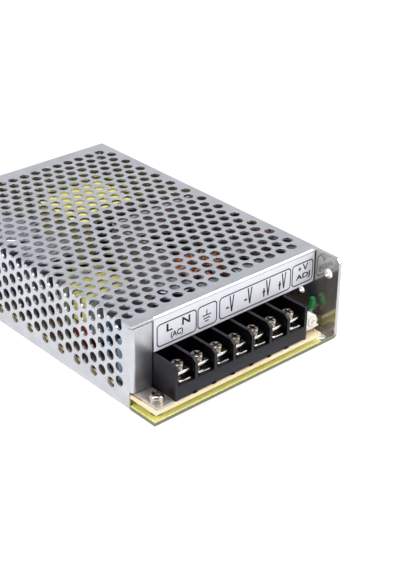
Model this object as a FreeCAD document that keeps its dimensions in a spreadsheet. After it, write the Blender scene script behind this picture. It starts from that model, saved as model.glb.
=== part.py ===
import FreeCAD, Part
import math
import os

import Sketcher

# Mesh case switching power supply.
# The frame has its origin at the bottom centre: +X runs along the width, the terminals face -Y,
# and +Z points up. All lengths are in millimetres.

doc = FreeCAD.newDocument("power_supply")

# Driving dimensions

# A number is a size of its own. A text that starts with = follows other sizes: the parts inside
# keep their share of the case's room when the case is made wider, longer or higher.
SIZES = {
    # Cutting shapes run this far past the faces they cut
    "cut_over": 1.0,
    # Overall case
    "case_width": 99.0,
    "case_length": 159.0,
    "cover_height": 37.0,
    "width_share": "=case_width/99",
    "board_overhang": 0.6,
    "terminal_ledge": 13.2,
    # Chassis, an aluminium sheet folded into a base, a wall and a rear hem
    "chassis_sheet": 1.5,
    "chassis_bend": 2.0,
    "wall_ear_drop": 0.2,
    "wall_corner_cut": 1.4,
    "wall_rear_gap": 0.6,
    "hem_height": 9.0,
    "hem_inset": 6.0,
    "ear_hole_radius": 2.1,
    "wall_ear_setback": 5.4,
    "wall_ear_height": 28.5,
    "base_ear_setback": 2.9,
    "base_ear_inset": 6.6,
    "base_thread_radius": 1.5,
    "base_thread_spacing_x": 78.0,
    "base_thread_spacing_y": 120.0,
    "side_thread_radius": 1.5,
    "side_thread_spacing": 120.0,
    "side_thread_height": 15.0,
    # Cover, a perforated steel sheet folded into a top, a side, a back and two front flanges
    "cover_sheet": 1.0,
    "cover_bend": 1.7,
    "cover_gap": 0.2,
    "cover_floor_gap": 0.3,
    "cover_seat_gap": 0.1,
    "flange_top_gap": 0.4,
    "lip_end_gap": 0.5,
    "corner_flange_width": 9.9,
    "corner_slit": 0.9,
    "flange_foot_gap": 0.3,
    "vent_radius": 2.2,
    "vent_pitch": 6.18,
    "vent_front_margin": 7.7,
    "vent_rear_margin": 6.0,
    "vent_side_margin": 4.45,
    "vent_bend_drop": 2.3,
    "vent_foot_margin": 3.0,
    "vent_edge_margin": 4.9,
    # Insulating film and circuit board
    "film_thickness": 0.4,
    "film_margin": 0.5,
    "film_rim": 0.2,
    "film_front_margin": 1.2,
    "board_height": 5.0,
    "board_thickness": 1.6,
    "height_share": "=(cover_height - board_height - board_thickness)/30.4",
    "board_side_gap": 0.5,
    "board_wall_gap": 1.2,
    "board_rear_gap": 4.0,
    "board_front_margin": 3.6,
    "board_step": 8.6,
    "standoff_radius": 2.1,
    "standoff_hole_gap": 0.4,
    "board_screw_radius": 1.5,
    "board_screw_gap": 0.08,
    "board_screw_head_radius": 2.9,
    "board_screw_head_height": 2.1,
    "board_screw_length": 4.2,
    "board_screw_inset": 4.0,
    "head_dome": 0.55,
    "head_slot_reach": 0.65,
    # Earth tab
    "tab_thickness": 0.8,
    "tab_corner": 0.8,
    "tab_side_inset": 0.8,
    "tab_front_inset": 0.3,
    "tab_rear_gap": 0.1,
    "tab_screw_inset_x": 4.9,
    "tab_screw_inset_y": 5.3,
    "lock_washer_height": 0.7,
    # Cover screws
    "cover_screw_radius": 1.5,
    "cover_screw_head_radius": 2.7,
    "cover_screw_head_height": 1.2,
    "cover_screw_length": 4.5,
    "cover_screw_height": 4.6,
    "cover_screw_spacing": 70.0,
    # Terminal block
    "ways": 7,
    "way_pitch": "=9.8*width_share",
    "barrier_thickness": 1.5,
    "block_side_gap": 0.2,
    "block_front_setback": 0.5,
    "block_depth": 17.6,
    "block_foot": 0.3,
    "block_deck": 6.3,
    "barrier_height": "=15.0*height_share",
    "barrier_cut_length": 2.0,
    "barrier_cut_height": 1.7,
    "cheek_cut": 0.4,
    "lip_clearance": 0.4,
    "lip_depth": "=cover_height - board_height - board_thickness - barrier_height - lip_clearance",
    "block_back_thickness": 2.0,
    "terminal_setback": 1.1,
    "terminal_length": 10.5,
    "terminal_width": 5.4,
    "terminal_thickness": 0.9,
    "screw_setback": 5.6,
    "screw_shank_radius": 1.65,
    "screw_head_radius": 2.75,
    "screw_head_height": 2.3,
    "screw_slot_width": 0.8,
    "screw_slot_depth": 1.1,
    "screw_length": 7.5,
    "screw_backed_out": 1.9,
    "screw_bore_gap": 0.3,
    "screw_dome": 0.3,
    "screw_cross_reach": 0.6,
    "clamp_width": 6.8,
    "clamp_length": 6.4,
    "clamp_thickness": 0.8,
    "clamp_rib": 0.5,
    "clamp_gap": 0.06,
    # Trimmer and indicator
    "trimmer_block_gap": 4.7,
    "block_width": "=ways*way_pitch + barrier_thickness",
    "block_right": "=corner_flange_width + block_side_gap + block_width - case_width/2",
    "trimmer_x": "=block_right + trimmer_block_gap",
    "trimmer_setback": 2.2,
    "trimmer_width": 6.2,
    "trimmer_depth": 3.4,
    "trimmer_height": 6.2,
    "trimmer_stand": 2.6,
    "trimmer_rim": 0.5,
    "trimmer_rim_height": 0.9,
    "rotor_radius": 2.0,
    "rotor_depth": 1.6,
    "rotor_proud": 0.3,
    "rotor_gap": 0.06,
    "rotor_slot_width": 0.7,
    "rotor_slot_depth": 0.7,
    "rotor_slot_reach": 1.5,
    "pin_radius": 0.3,
    "pin_spread": 2.2,
    "pin_front_offset": 0.9,
    "pin_rear_offset": 1.3,
    "lamp_wall_gap": 3.9,
    "lamp_x": "=case_width/2 - chassis_sheet - lamp_wall_gap",
    "lamp_setback": 11.6,
    "lamp_lean": 10.0,
    "lamp_stand": 4.6,
    "lamp_radius": 1.5,
    "lamp_flange_radius": 1.9,
    "lamp_flange_height": 0.9,
    "lamp_length": 5.2,
    "lamp_lead_radius": 0.25,
    "lamp_lead_spacing": 1.27,
    "lamp_lead_lift": 0.1,
    # Room behind the terminal block, and its share of the drawn room
    "overall_length": "=board_overhang + case_length + cover_screw_head_height",
    "room_front": "=block_front_setback + block_depth - overall_length/2",
    "length_share": "=(case_length + board_overhang - block_front_setback - block_depth)/141.5",
    "round_share": "=min(width_share; length_share)",
    # Heatsink and the devices on it
    "seat_gap": 0.1,
    "sink_thickness": 2.0,
    "sink_top": "=board_height + board_thickness + 28*height_share",
    "sink_corner_x": "=0.8*width_share",
    "sink_corner_y": "=room_front + 71.9*length_share",
    "sink_long_leg": "=39*length_share",
    "sink_cross_leg": "=46*width_share",
    "device_width": 10.2,
    "device_height": 15.5,
    "device_thickness": 4.4,
    "device_stand": 3.0,
    "device_spacing": "=15*round_share",
    "rectifier_inset": 10.5,
    "lead_width": 0.8,
    "lead_pitch": 2.54,
    # Main transformer
    "transformer_x": "=8.9*width_share",
    "transformer_y": "=room_front + 96.3*length_share",
    "transformer_width": "=34*width_share",
    "transformer_length": "=33*length_share",
    "transformer_height": "=26*height_share",
    "transformer_round": 3.0,
    "transformer_stand": 1.0,
    "core_width": "=22*width_share",
    "core_depth": 7.6,
    "core_proud": 0.5,
    "core_offset": "=1.8*width_share",
    # Line filter coil
    "filter_coil_x": "=-32*width_share",
    "filter_coil_y": "=room_front + 37.5*length_share",
    "filter_coil_width": "=20.6*width_share",
    "filter_coil_length": "=13.4*length_share",
    "filter_coil_height": "=13.5*height_share",
    "filter_coil_round": 1.6,
    "filter_bobbin_inset": 1.0,
    "filter_bobbin_height": "=11.5*height_share",
    "filter_yoke_depth": "=6.5*length_share",
    "filter_yoke_base": "=board_height + board_thickness + 7.4*height_share",
    "filter_limb_width": 8.0,
    "filter_limb_height": 8.0,
    # Capacitors
    "bulk_radius": "=11*round_share",
    "bulk_height": "=27*height_share",
    "bulk_x": "=-33*width_share",
    "bulk_y": "=room_front + 72.8*length_share",
    "bulk_spacing": "=24*length_share",
    "filter_cap_radius": "=8*round_share",
    "filter_cap_height": "=24*height_share",
    "filter_cap_x": "=-9*width_share",
    "filter_cap_y": "=room_front + 19.8*length_share",
    "output_cap_radius": "=5*round_share",
    "output_cap_height": "=21*height_share",
    "output_cap_1_x": "=26.5*width_share",
    "output_cap_1_y": "=room_front + 15.8*length_share",
    "output_cap_2_x": "=36.3*width_share",
    "output_cap_2_y": "=room_front + 27.3*length_share",
    "output_cap_3_x": "=38.5*width_share",
    "output_cap_3_y": "=room_front + 14.7*length_share",
    "output_cap_4_x": "=6.8*width_share",
    "output_cap_4_y": "=room_front + 15.5*length_share",
    "small_cap_radius": "=4*round_share",
    "small_cap_height": "=12*height_share",
    "small_cap_1_x": "=36.2*width_share",
    "small_cap_1_y": "=room_front + 4.3*length_share",
    "small_cap_2_x": "=16.4*width_share",
    "small_cap_2_y": "=room_front + 10.8*length_share",
    "small_cap_3_x": "=-18.8*width_share",
    "small_cap_3_y": "=room_front + 118.3*length_share",
    "small_cap_4_x": "=32*width_share",
    "small_cap_4_y": "=room_front + 123.3*length_share",
    "can_rim": 0.6,
    "can_crimp_rise": 1.6,
    "can_crimp_width": 0.8,
    "can_crimp_depth": 0.4,
    "box_cap_width": "=11*width_share",
    "box_cap_length": "=10*length_share",
    "box_cap_height": "=15.5*height_share",
    "box_cap_x": "=-40.5*width_share",
    "box_cap_y": "=room_front + 6.8*length_share",
    "box_cap_round": 0.8,
    "disc_cap_radius": "=5*round_share",
    "disc_cap_thickness": "=3.6*length_share",
    "disc_cap_height": "=19*height_share",
    "disc_cap_y": "=room_front + 17.3*length_share",
    "disc_cap_1_x": "=-40.5*width_share",
    "disc_cap_2_x": "=-29*width_share",
    # Output choke
    "choke_x": "=20.5*width_share",
    "choke_y": "=room_front + 37.3*length_share",
    "choke_outer_radius": "=12.4*round_share",
    "choke_inner_radius": "=5*round_share",
    "choke_height": "=16.4*height_share",
    "choke_wire": 1.3,
    "choke_turns": 22,
    "choke_stand": 0.3,
    "choke_bend": 1.2,
    "choke_first_angle": 8.0,
    # Smaller parts on the board
    "fuse_radius": 2.5,
    "fuse_length": "=20*width_share",
    "fuse_cap_length": "=5*width_share",
    "fuse_x": "=-22.5*width_share",
    "fuse_y": "=room_front + 6.3*length_share",
    "fuse_height": 4.6,
    "fuse_glass_step": 0.2,
    "clip_inset": 0.6,
    "clip_wall": 0.7,
    "clip_rise": 1.0,
    "clip_gap": 0.05,
    "clip_mouth": 4.0,
    "varistor_radius": "=6*round_share",
    "varistor_thickness": "=3.4*length_share",
    "varistor_x": "=-23.6*width_share",
    "varistor_y": "=room_front + 13.5*length_share",
    "varistor_stand": 7.6,
    "thermistor_radius": "=6*round_share",
    "thermistor_thickness": "=4*length_share",
    "thermistor_x": "=-5*width_share",
    "thermistor_y": "=room_front + 6.3*length_share",
    "thermistor_stand": 6.0,
    "bridge_width": "=17*width_share",
    "bridge_height": 14.0,
    "bridge_thickness": 3.6,
    "bridge_right": "=0.5*width_share",
    "bridge_y": "=room_front + 67.7*length_share",
    "bridge_leg_inset": 1.2,
    "bridge_leg_pitch": "=4.6*width_share",
    "driver_x": "=-32*width_share",
    "driver_y": "=room_front + 122.3*length_share",
    "driver_width": "=16*width_share",
    "driver_length": "=14*length_share",
    "driver_height": 14.0,
    "driver_foot": 3.0,
    "driver_foot_inset": 1.5,
    "driver_coil_inset": 2.5,
    "driver_coil_proud": 1.5,
    "driver_coil_height": 4.0,
    "chip_width": 6.4,
    "chip_length": "=19.4*length_share",
    "chip_height": 3.4,
    "chip_stand": 0.8,
    "chip_legs": 7,
    "chip_leg_depth": 0.6,
    "chip_leg_width": 0.4,
    "chip_x": "=-10.5*width_share",
    "chip_y": "=room_front + 124.3*length_share",
    "resistor_radius": 1.5,
    "resistor_length": "=9*width_share",
    "resistor_pitch": "=5*length_share",
    "resistor_count": 4,
    "resistor_x": "=6*width_share",
    "resistor_y": "=room_front + 126.3*length_share",
}

sizes = doc.addObject("Spreadsheet::Sheet", "Sizes")
for row, (alias, value) in enumerate(SIZES.items(), start=1):
    sizes.set(f"A{row}", alias.replace("_", " "))
    sizes.set(f"B{row}", str(value))
    sizes.setAlias(f"B{row}", alias)
doc.recompute()


def size(alias):
    """The value of one driving dimension, read from the sheet."""
    return float(sizes.get(alias))


def linked(text):
    """An expression over the sheet: each alias in the text becomes a reference to its cell."""
    words = []
    word = ""
    for letter in str(text) + " ":
        if letter.isalnum() or letter == "_" or (letter == "." and word[:1].isdigit()):
            word += letter
            continue
        words.append(f"Sizes.{word}" if word in SIZES else word)
        word = ""
        words.append(letter)
    return "".join(words).strip()


def number(text):
    """What an expression over the sheet comes to."""
    return float(sizes.evalExpression(linked(text)))


# Places that several pieces share, as expressions over the sheet

BOARD_FRONT = "(-overall_length/2)"
FRONT = f"({BOARD_FRONT} + board_overhang)"
REAR = f"({FRONT} + case_length)"
LEFT = "(-case_width/2)"
RIGHT = "(case_width/2)"
COVER_FRONT = f"({FRONT} + terminal_ledge)"
WAIST = f"({COVER_FRONT} + cover_bend - cover_gap)"
WALL_INSIDE = f"({RIGHT} - chassis_sheet)"
COVER_UNDERSIDE = "(cover_height - cover_sheet)"
EAR_TOP = "(cover_height - wall_ear_drop)"
CHASSIS_LEFT = f"({LEFT} + cover_sheet + cover_gap/2)"
CHASSIS_REAR = f"({REAR} - cover_sheet - cover_gap)"
BOARD_TOP = "(board_height + board_thickness)"
BOARD_LEFT = f"({LEFT} + cover_sheet + board_side_gap)"
BOARD_RIGHT = f"({WALL_INSIDE} - board_wall_gap)"
SEAT = f"({BOARD_TOP} + seat_gap)"
BLOCK_FRONT = f"({BOARD_FRONT} + block_front_setback)"
BLOCK_LEFT = f"({LEFT} + corner_flange_width + block_side_gap)"
DECK_TOP = f"({BOARD_TOP} + block_deck)"


# Modelling helpers


def bind(item, **links):
    """Bind properties of an object to expressions over the sheet."""
    for name, text in links.items():
        item.setExpression(name.replace("__", "."), linked(text))
    return item


def place(item, x, y, z):
    """Bind the position of an object."""
    return bind(item, Placement__Base__x=x, Placement__Base__y=y, Placement__Base__z=z)


def block(label, x, y, z, length, width, height):
    """A box from its low corner and its three sizes."""
    item = doc.addObject("Part::Box", label)
    bind(item, Length=length, Width=width, Height=height)
    return place(item, x, y, z)


TURNS = {
    "z": FreeCAD.Rotation(),
    "x": FreeCAD.Rotation(FreeCAD.Vector(0, 1, 0), 90),
    "y": FreeCAD.Rotation(FreeCAD.Vector(1, 0, 0), -90),
}


def rod(label, x, y, z, radius, length, along="z"):
    """A cylinder that starts at a point and runs along +X, +Y or +Z."""
    item = doc.addObject("Part::Cylinder", label)
    item.Placement = FreeCAD.Placement(FreeCAD.Vector(), TURNS[along])
    bind(item, Radius=radius, Height=length)
    return place(item, x, y, z)


def joined(label, items):
    """One solid from several that meet."""
    item = doc.addObject("Part::MultiFuse", label)
    item.Shapes = items
    item.Refine = True
    return item


def group(label, items):
    """Several separate solids under one name."""
    item = doc.addObject("Part::Compound", label)
    item.Links = items
    return item


def carved(label, base, tools):
    """A solid with one or more others taken out of it."""
    item = doc.addObject("Part::Cut", label)
    item.Base = base
    item.Tool = tools[0] if len(tools) == 1 else group(label + "_tools", tools)
    item.Refine = True
    return item


def softened(label, base, radius, chosen):
    """A solid with some of its edges rounded; chosen says which edges."""
    doc.recompute()
    item = doc.addObject("Part::Fillet", label)
    item.Base = base
    edges = enumerate(base.Shape.Edges, start=1)
    item.Edges = [(index, radius, radius) for index, edge in edges if chosen(edge)]
    return item


def upright(edge):
    """Whether an edge is straight and runs along Z."""
    ends = [vertex.Point for vertex in edge.Vertexes]
    if len(ends) != 2 or edge.Curve.TypeId != "Part::GeomLine":
        return False
    return abs(ends[0].x - ends[1].x) < 1e-6 and abs(ends[0].y - ends[1].y) < 1e-6


PLANES = {"xy": "XY_Plane", "xz": "XZ_Plane", "yz": "YZ_Plane"}


def new_body(label):
    """An empty body, to hold pads and pockets."""
    return doc.addObject("PartDesign::Body", label)


def sketch_on(body, name, plane, offset):
    """A sketch on one of the body's origin planes, moved along +Z, +Y or +X by an offset."""
    sketch = body.newObject("Sketcher::SketchObject", name)
    support = [item for item in body.Origin.OriginFeatures if item.Role == PLANES[plane]][0]
    sketch.AttachmentSupport = [(support, "")]
    sketch.MapMode = "FlatFace"
    sign = "-1*" if plane == "xz" else "1*"
    sketch.setExpression("AttachmentOffset.Base.z", linked(f"{sign}({offset})"))
    return sketch


def pin_point(sketch, geometry, end, x, y):
    """Hold one end of a sketch line at a place given by expressions."""
    for kind, text in (("DistanceX", x), ("DistanceY", y)):
        value = number(text)
        index = sketch.addConstraint(Sketcher.Constraint(kind, -1, 1, geometry, end, value))
        sketch.setExpression(f"Constraints[{index}]", linked(text))


def outline(sketch, corners):
    """Draw a closed outline of straight runs along the axes or slanted ones.

    Each corner is (x, y) or (x, y, radius). A corner with a radius joins two runs at right
    angles, both along the sketch's axes.
    """
    points = []
    count = len(corners)
    for index, corner in enumerate(corners):
        x, y = corner[0], corner[1]
        if len(corner) == 2:
            points.append([(x, y)])
            continue
        ends = []
        for other in (corners[index - 1], corners[(index + 1) % count]):
            dx = number(other[0]) - number(x)
            dy = number(other[1]) - number(y)
            if abs(dx) > abs(dy):
                ends.append((f"{x} + {math.copysign(1, dx):.0f}*{corner[2]}", y))
            else:
                ends.append((x, f"{y} + {math.copysign(1, dy):.0f}*{corner[2]}"))
        points.append(ends + [corner[2]])
    starts = []
    for index in range(count):
        tail = points[index]
        head = points[(index + 1) % count]
        first = tail[0] if len(tail) == 1 else tail[1]
        last = head[0]
        here = FreeCAD.Vector(number(first[0]), number(first[1]), 0)
        there = FreeCAD.Vector(number(last[0]), number(last[1]), 0)
        line = sketch.addGeometry(Part.LineSegment(here, there), False)
        pin_point(sketch, line, 1, *first)
        starts.append((line, here, there))
    for index, tail in enumerate(points):
        line, here, _ = starts[index]
        previous, _, before = starts[index - 1]
        if len(tail) == 1:
            sketch.addConstraint(Sketcher.Constraint("Coincident", previous, 2, line, 1))
            continue
        pin_point(sketch, previous, 2, *tail[0])
        radius = number(tail[2])
        corner = FreeCAD.Vector(number(corners[index][0]), number(corners[index][1]), 0)
        centre = before + here - corner
        middle = centre + (corner - centre).normalize() * radius
        arc = sketch.addGeometry(Part.Arc(before, middle, here), False)
        turned = (sketch.getPoint(arc, 1) - before).Length > 1e-6
        sketch.addConstraint(Sketcher.Constraint("Coincident", previous, 2, arc, 2 if turned else 1))
        sketch.addConstraint(Sketcher.Constraint("Coincident", arc, 1 if turned else 2, line, 1))
        index = sketch.addConstraint(Sketcher.Constraint("Radius", arc, radius))
        sketch.setExpression(f"Constraints[{index}]", linked(tail[2]))


def rings(sketch, circles):
    """Draw circles, each given as (x, y, radius)."""
    for x, y, radius in circles:
        centre = FreeCAD.Vector(number(x), number(y), 0)
        ring = sketch.addGeometry(Part.Circle(centre, FreeCAD.Vector(0, 0, 1), number(radius)), False)
        pin_point(sketch, ring, 3, x, y)
        index = sketch.addConstraint(Sketcher.Constraint("Radius", ring, number(radius)))
        sketch.setExpression(f"Constraints[{index}]", linked(radius))


def pad(body, name, plane, corners, start, length):
    """Extrude an outline from a start plane, by a length along +Z, +Y or +X."""
    sketch = sketch_on(body, name + "_sketch", plane, start)
    outline(sketch, corners)
    feature = body.newObject("PartDesign::Pad", name)
    feature.Profile = sketch
    feature.Reversed = plane == "xz"
    bind(feature, Length=length)
    sketch.Visibility = False
    return feature


def bored(body, name, plane, circles, corners=None):
    """Cut circles, or one outline, right through the body."""
    sketch = sketch_on(body, name + "_sketch", plane, "0")
    if corners:
        outline(sketch, corners)
    else:
        rings(sketch, circles)
    feature = body.newObject("PartDesign::Pocket", name)
    feature.Profile = sketch
    feature.Type = 1
    feature.Midplane = True
    sketch.Visibility = False
    return feature


# Chassis: base, right wall and rear hem, folded from one sheet


def make_chassis():
    body = new_body("chassis")
    inner_bend = "(chassis_bend - chassis_sheet)"
    pad(body, "base_and_wall", "xz", [
        (CHASSIS_LEFT, "0"),
        (RIGHT, "0", "chassis_bend"),
        (RIGHT, EAR_TOP),
        (WALL_INSIDE, EAR_TOP),
        (WALL_INSIDE, "chassis_sheet", inner_bend),
        (CHASSIS_LEFT, "chassis_sheet"),
    ], FRONT, f"{CHASSIS_REAR} - chassis_bend - {FRONT}")
    # In front of the cover the base is as wide as the cover over it
    pad(body, "front_ledge", "xy", [
        (LEFT, FRONT),
        (f"({CHASSIS_LEFT} + chassis_sheet)", FRONT),
        (f"({CHASSIS_LEFT} + chassis_sheet)", WAIST),
        (LEFT, WAIST),
    ], "0", "chassis_sheet")
    # Beside the rear hem the wall runs on almost to the cover's back
    wall_end = f"({CHASSIS_REAR} - wall_rear_gap)"
    pad(body, "wall_end", "yz", [
        (f"({CHASSIS_REAR} - chassis_bend)", "chassis_bend"),
        (wall_end, "chassis_bend"),
        (wall_end, EAR_TOP),
        (f"({CHASSIS_REAR} - chassis_bend)", EAR_TOP),
    ], WALL_INSIDE, "chassis_sheet")
    hem_left = f"({CHASSIS_LEFT} + hem_inset)"
    hem_right = f"({RIGHT} - hem_inset)"
    pad(body, "rear_hem", "yz", [
        (f"({CHASSIS_REAR} - 2*chassis_bend)", "0"),
        (CHASSIS_REAR, "0", "chassis_bend"),
        (CHASSIS_REAR, "hem_height"),
        (f"({CHASSIS_REAR} - chassis_sheet)", "hem_height"),
        (f"({CHASSIS_REAR} - chassis_sheet)", "chassis_sheet", inner_bend),
        (f"({CHASSIS_REAR} - 2*chassis_bend)", "chassis_sheet"),
    ], hem_left, f"{hem_right} - {hem_left}")
    ear_y = f"({FRONT} + wall_ear_setback)"
    side_y = "(side_thread_spacing/2)"
    bored(body, "wall_holes", "yz", [
        (ear_y, "wall_ear_height", "ear_hole_radius"),
        (f"-1*{side_y}", "side_thread_height", "side_thread_radius"),
        (side_y, "side_thread_height", "side_thread_radius"),
    ])
    half_x = "base_thread_spacing_x/2"
    half_y = "base_thread_spacing_y/2"
    bored(body, "base_holes", "xy", [
        (f"({RIGHT} - base_ear_inset)", f"({FRONT} + base_ear_setback)", "ear_hole_radius"),
        (f"-{half_x}", f"-{half_y}", "base_thread_radius"),
        (half_x, f"-{half_y}", "base_thread_radius"),
        (f"-{half_x}", half_y, "base_thread_radius"),
        (half_x, half_y, "base_thread_radius"),
    ])
    bored(body, "hem_holes", "xz", [
        ("-cover_screw_spacing/2", "cover_screw_height", "cover_screw_radius + board_screw_gap"),
        ("cover_screw_spacing/2", "cover_screw_height", "cover_screw_radius + board_screw_gap"),
    ])
    bored(body, "wall_corner", "yz", None, [
        (FRONT, f"({EAR_TOP} - wall_corner_cut)"),
        (f"({FRONT} + wall_corner_cut)", EAR_TOP),
        (FRONT, EAR_TOP),
    ])
    # Behind the ear the wall ends under the cover's top, which lies over it
    seat_front = f"({COVER_FRONT} - cover_seat_gap)"
    seat_top = f"({COVER_UNDERSIDE} - cover_seat_gap)"
    bored(body, "cover_seat", "yz", None, [
        (seat_front, seat_top),
        (REAR, seat_top),
        (REAR, f"({EAR_TOP} + cut_over)"),
        (seat_front, f"({EAR_TOP} + cut_over)"),
    ])


# Cover: top, left side, back, label lip and corner flange, folded from one perforated sheet

LIP_LEFT = f"({LEFT} + corner_flange_width + corner_slit)"


def make_cover_fold():
    body = new_body("cover_fold")
    inner_bend = "(cover_bend - cover_sheet)"
    bend_front = f"({COVER_FRONT} + cover_bend)"
    bend_end = f"({COVER_FRONT} + 2*cover_bend)"
    bend_rear = f"({REAR} - cover_bend)"
    pad(body, "top_and_side", "xz", [
        (LEFT, "cover_floor_gap"),
        (LEFT, "cover_height", "cover_bend"),
        (RIGHT, "cover_height"),
        (RIGHT, COVER_UNDERSIDE),
        (f"({LEFT} + cover_sheet)", COVER_UNDERSIDE, inner_bend),
        (f"({LEFT} + cover_sheet)", "cover_floor_gap"),
    ], bend_front, f"{bend_rear} - {bend_front}")
    pad(body, "back_bend", "yz", [
        (f"({REAR} - 2*cover_bend)", COVER_UNDERSIDE),
        (f"({REAR} - 2*cover_bend)", "cover_height"),
        (REAR, "cover_height", "cover_bend"),
        (REAR, "(cover_height - 2*cover_bend)"),
        (f"({REAR} - cover_sheet)", "(cover_height - 2*cover_bend)"),
        (f"({REAR} - cover_sheet)", COVER_UNDERSIDE, inner_bend),
    ], f"({LEFT} + cover_bend)", f"{RIGHT} - {LEFT} - cover_bend")
    pad(body, "back_wall", "xz", [
        (LEFT, "cover_floor_gap"),
        (RIGHT, "cover_floor_gap"),
        (RIGHT, "(cover_height - 2*cover_bend)"),
        (LEFT, "(cover_height - 2*cover_bend)"),
    ], f"({REAR} - cover_sheet)", "cover_sheet")
    lip_foot = "(cover_height - lip_depth)"
    pad(body, "label_lip", "yz", [
        (bend_end, "cover_height"),
        (bend_end, COVER_UNDERSIDE),
        (f"({COVER_FRONT} + cover_sheet)", COVER_UNDERSIDE, inner_bend),
        (f"({COVER_FRONT} + cover_sheet)", lip_foot),
        (COVER_FRONT, lip_foot),
        (COVER_FRONT, "cover_height", "cover_bend"),
    ], LIP_LEFT, f"{WALL_INSIDE} - lip_end_gap - {LIP_LEFT}")
    flange_foot = f"({BOARD_TOP} + tab_thickness + flange_foot_gap)"
    flange_top = f"({COVER_UNDERSIDE} - flange_top_gap)"
    flange_right = f"({LEFT} + corner_flange_width)"
    pad(body, "corner_flange", "xy", [
        (LEFT, bend_end),
        (LEFT, COVER_FRONT, "cover_bend"),
        (flange_right, COVER_FRONT),
        (flange_right, f"({COVER_FRONT} + cover_sheet)"),
        (f"({LEFT} + cover_sheet)", f"({COVER_FRONT} + cover_sheet)", inner_bend),
        (f"({LEFT} + cover_sheet)", bend_end),
    ], flange_foot, f"{flange_top} - {flange_foot}")
    pad(body, "top_over_wall", "xy", [
        (f"({WALL_INSIDE} - lip_end_gap - cover_bend)", bend_front),
        (f"({WALL_INSIDE} - lip_end_gap)", COVER_FRONT),
        (RIGHT, COVER_FRONT),
        (RIGHT, bend_end),
        (f"({WALL_INSIDE} - lip_end_gap - cover_bend)", bend_end),
    ], COVER_UNDERSIDE, "cover_sheet")
    pad(body, "top_corner", "xz", [
        (LEFT, COVER_UNDERSIDE),
        (LEFT, "cover_height", "(cover_sheet - cover_seat_gap)"),
        (LIP_LEFT, "cover_height"),
        (LIP_LEFT, COVER_UNDERSIDE),
    ], COVER_FRONT, "cover_bend")
    bored(body, "back_screw_holes", "xz", [
        ("-cover_screw_spacing/2", "cover_screw_height", "cover_screw_radius + board_screw_gap"),
        ("cover_screw_spacing/2", "cover_screw_height", "cover_screw_radius + board_screw_gap"),
    ])
    return body


def make_vent_punches():
    """Punches in a staggered pattern that runs over the top and on round the bend."""
    pitch = size("vent_pitch")
    radius = size("vent_radius")
    row_step = pitch * math.sqrt(3) / 2
    left = number(LEFT)
    top = size("cover_height")
    bend = size("cover_bend")
    front = number(COVER_FRONT) + size("vent_front_margin")
    last_row = number(REAR) - size("vent_rear_margin") - radius
    right_limit = number(RIGHT) - size("vent_edge_margin")
    foot_limit = size("cover_floor_gap") + size("vent_foot_margin")
    rows = int((last_row - front) / row_step + 1e-6) + 1
    punches = []
    for row in range(rows):
        y = front + row * row_step
        shift = pitch / 2 if row % 2 else 0.0
        x = left + size("vent_side_margin") - shift
        while x <= right_limit:
            low = FreeCAD.Vector(x, y, top - bend)
            punches.append(Part.makeCylinder(radius, 2 * bend, low))
            x += pitch
        z = top - size("vent_bend_drop") - shift
        while z - radius >= foot_limit - radius / 2:
            low = FreeCAD.Vector(left - bend, y, z)
            punches.append(Part.makeCylinder(radius, 2 * bend + 1, low, FreeCAD.Vector(1, 0, 0)))
            z -= pitch
    item = doc.addObject("Part::Feature", "vent_punches")
    item.Shape = Part.makeCompound(punches)
    return item


def make_cover():
    fold = make_cover_fold()
    punches = make_vent_punches()
    item = doc.addObject("Part::Cut", "cover")
    item.Base = fold
    item.Tool = punches
    item.Refine = False


# Insulating film, circuit board and what fastens them


def board_fixings():
    """Places of the screws that hold the board to the base, the earth tab's first."""
    inset = "board_screw_inset"
    return [
        (f"({LEFT} + tab_screw_inset_x)", f"({BOARD_FRONT} + tab_screw_inset_y)"),
        (f"({BOARD_RIGHT} - {inset})", f"({COVER_FRONT} + board_screw_inset)"),
        (f"({BOARD_LEFT} + {inset})", f"({CHASSIS_REAR} - board_rear_gap - {inset})"),
        (f"({BOARD_RIGHT} - {inset})", f"({CHASSIS_REAR} - board_rear_gap - {inset})"),
    ]


def make_film():
    body = new_body("insulating_film")
    left = f"({CHASSIS_LEFT} + film_margin)"
    right = f"({WALL_INSIDE} - chassis_bend)"
    front_left = f"({LEFT} + film_rim)"
    front = f"({FRONT} + film_rim)"
    rear = f"({CHASSIS_REAR} - 2*chassis_bend)"
    front_right = "(trimmer_x + board_front_margin + film_front_margin)"
    step = f"({FRONT} + board_step + film_margin)"
    pad(body, "film_sheet", "xy", [
        (front_left, front),
        (front_right, front),
        (front_right, step),
        (right, step),
        (right, rear),
        (left, rear),
        (left, f"({WAIST} - film_rim)"),
        (front_left, f"({WAIST} - film_rim)"),
    ], "chassis_sheet", "film_thickness")
    holes = [(x, y, "standoff_radius + standoff_hole_gap") for x, y in board_fixings()]
    bored(body, "film_holes", "xy", holes)


def make_board():
    body = new_body("circuit_board")
    ear_left = f"({LEFT} + cover_gap)"
    front_right = "(trimmer_x + board_front_margin)"
    step = f"({FRONT} + board_step)"
    rear = f"({CHASSIS_REAR} - board_rear_gap)"
    pad(body, "laminate", "xy", [
        (ear_left, BOARD_FRONT),
        (front_right, BOARD_FRONT),
        (front_right, step),
        (BOARD_RIGHT, step),
        (BOARD_RIGHT, rear),
        (BOARD_LEFT, rear),
        (BOARD_LEFT, WAIST),
        (ear_left, WAIST),
    ], "board_height", "board_thickness")
    holes = [(x, y, "board_screw_radius + board_screw_gap") for x, y in board_fixings()]
    bored(body, "fixing_holes", "xy", holes)


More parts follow.
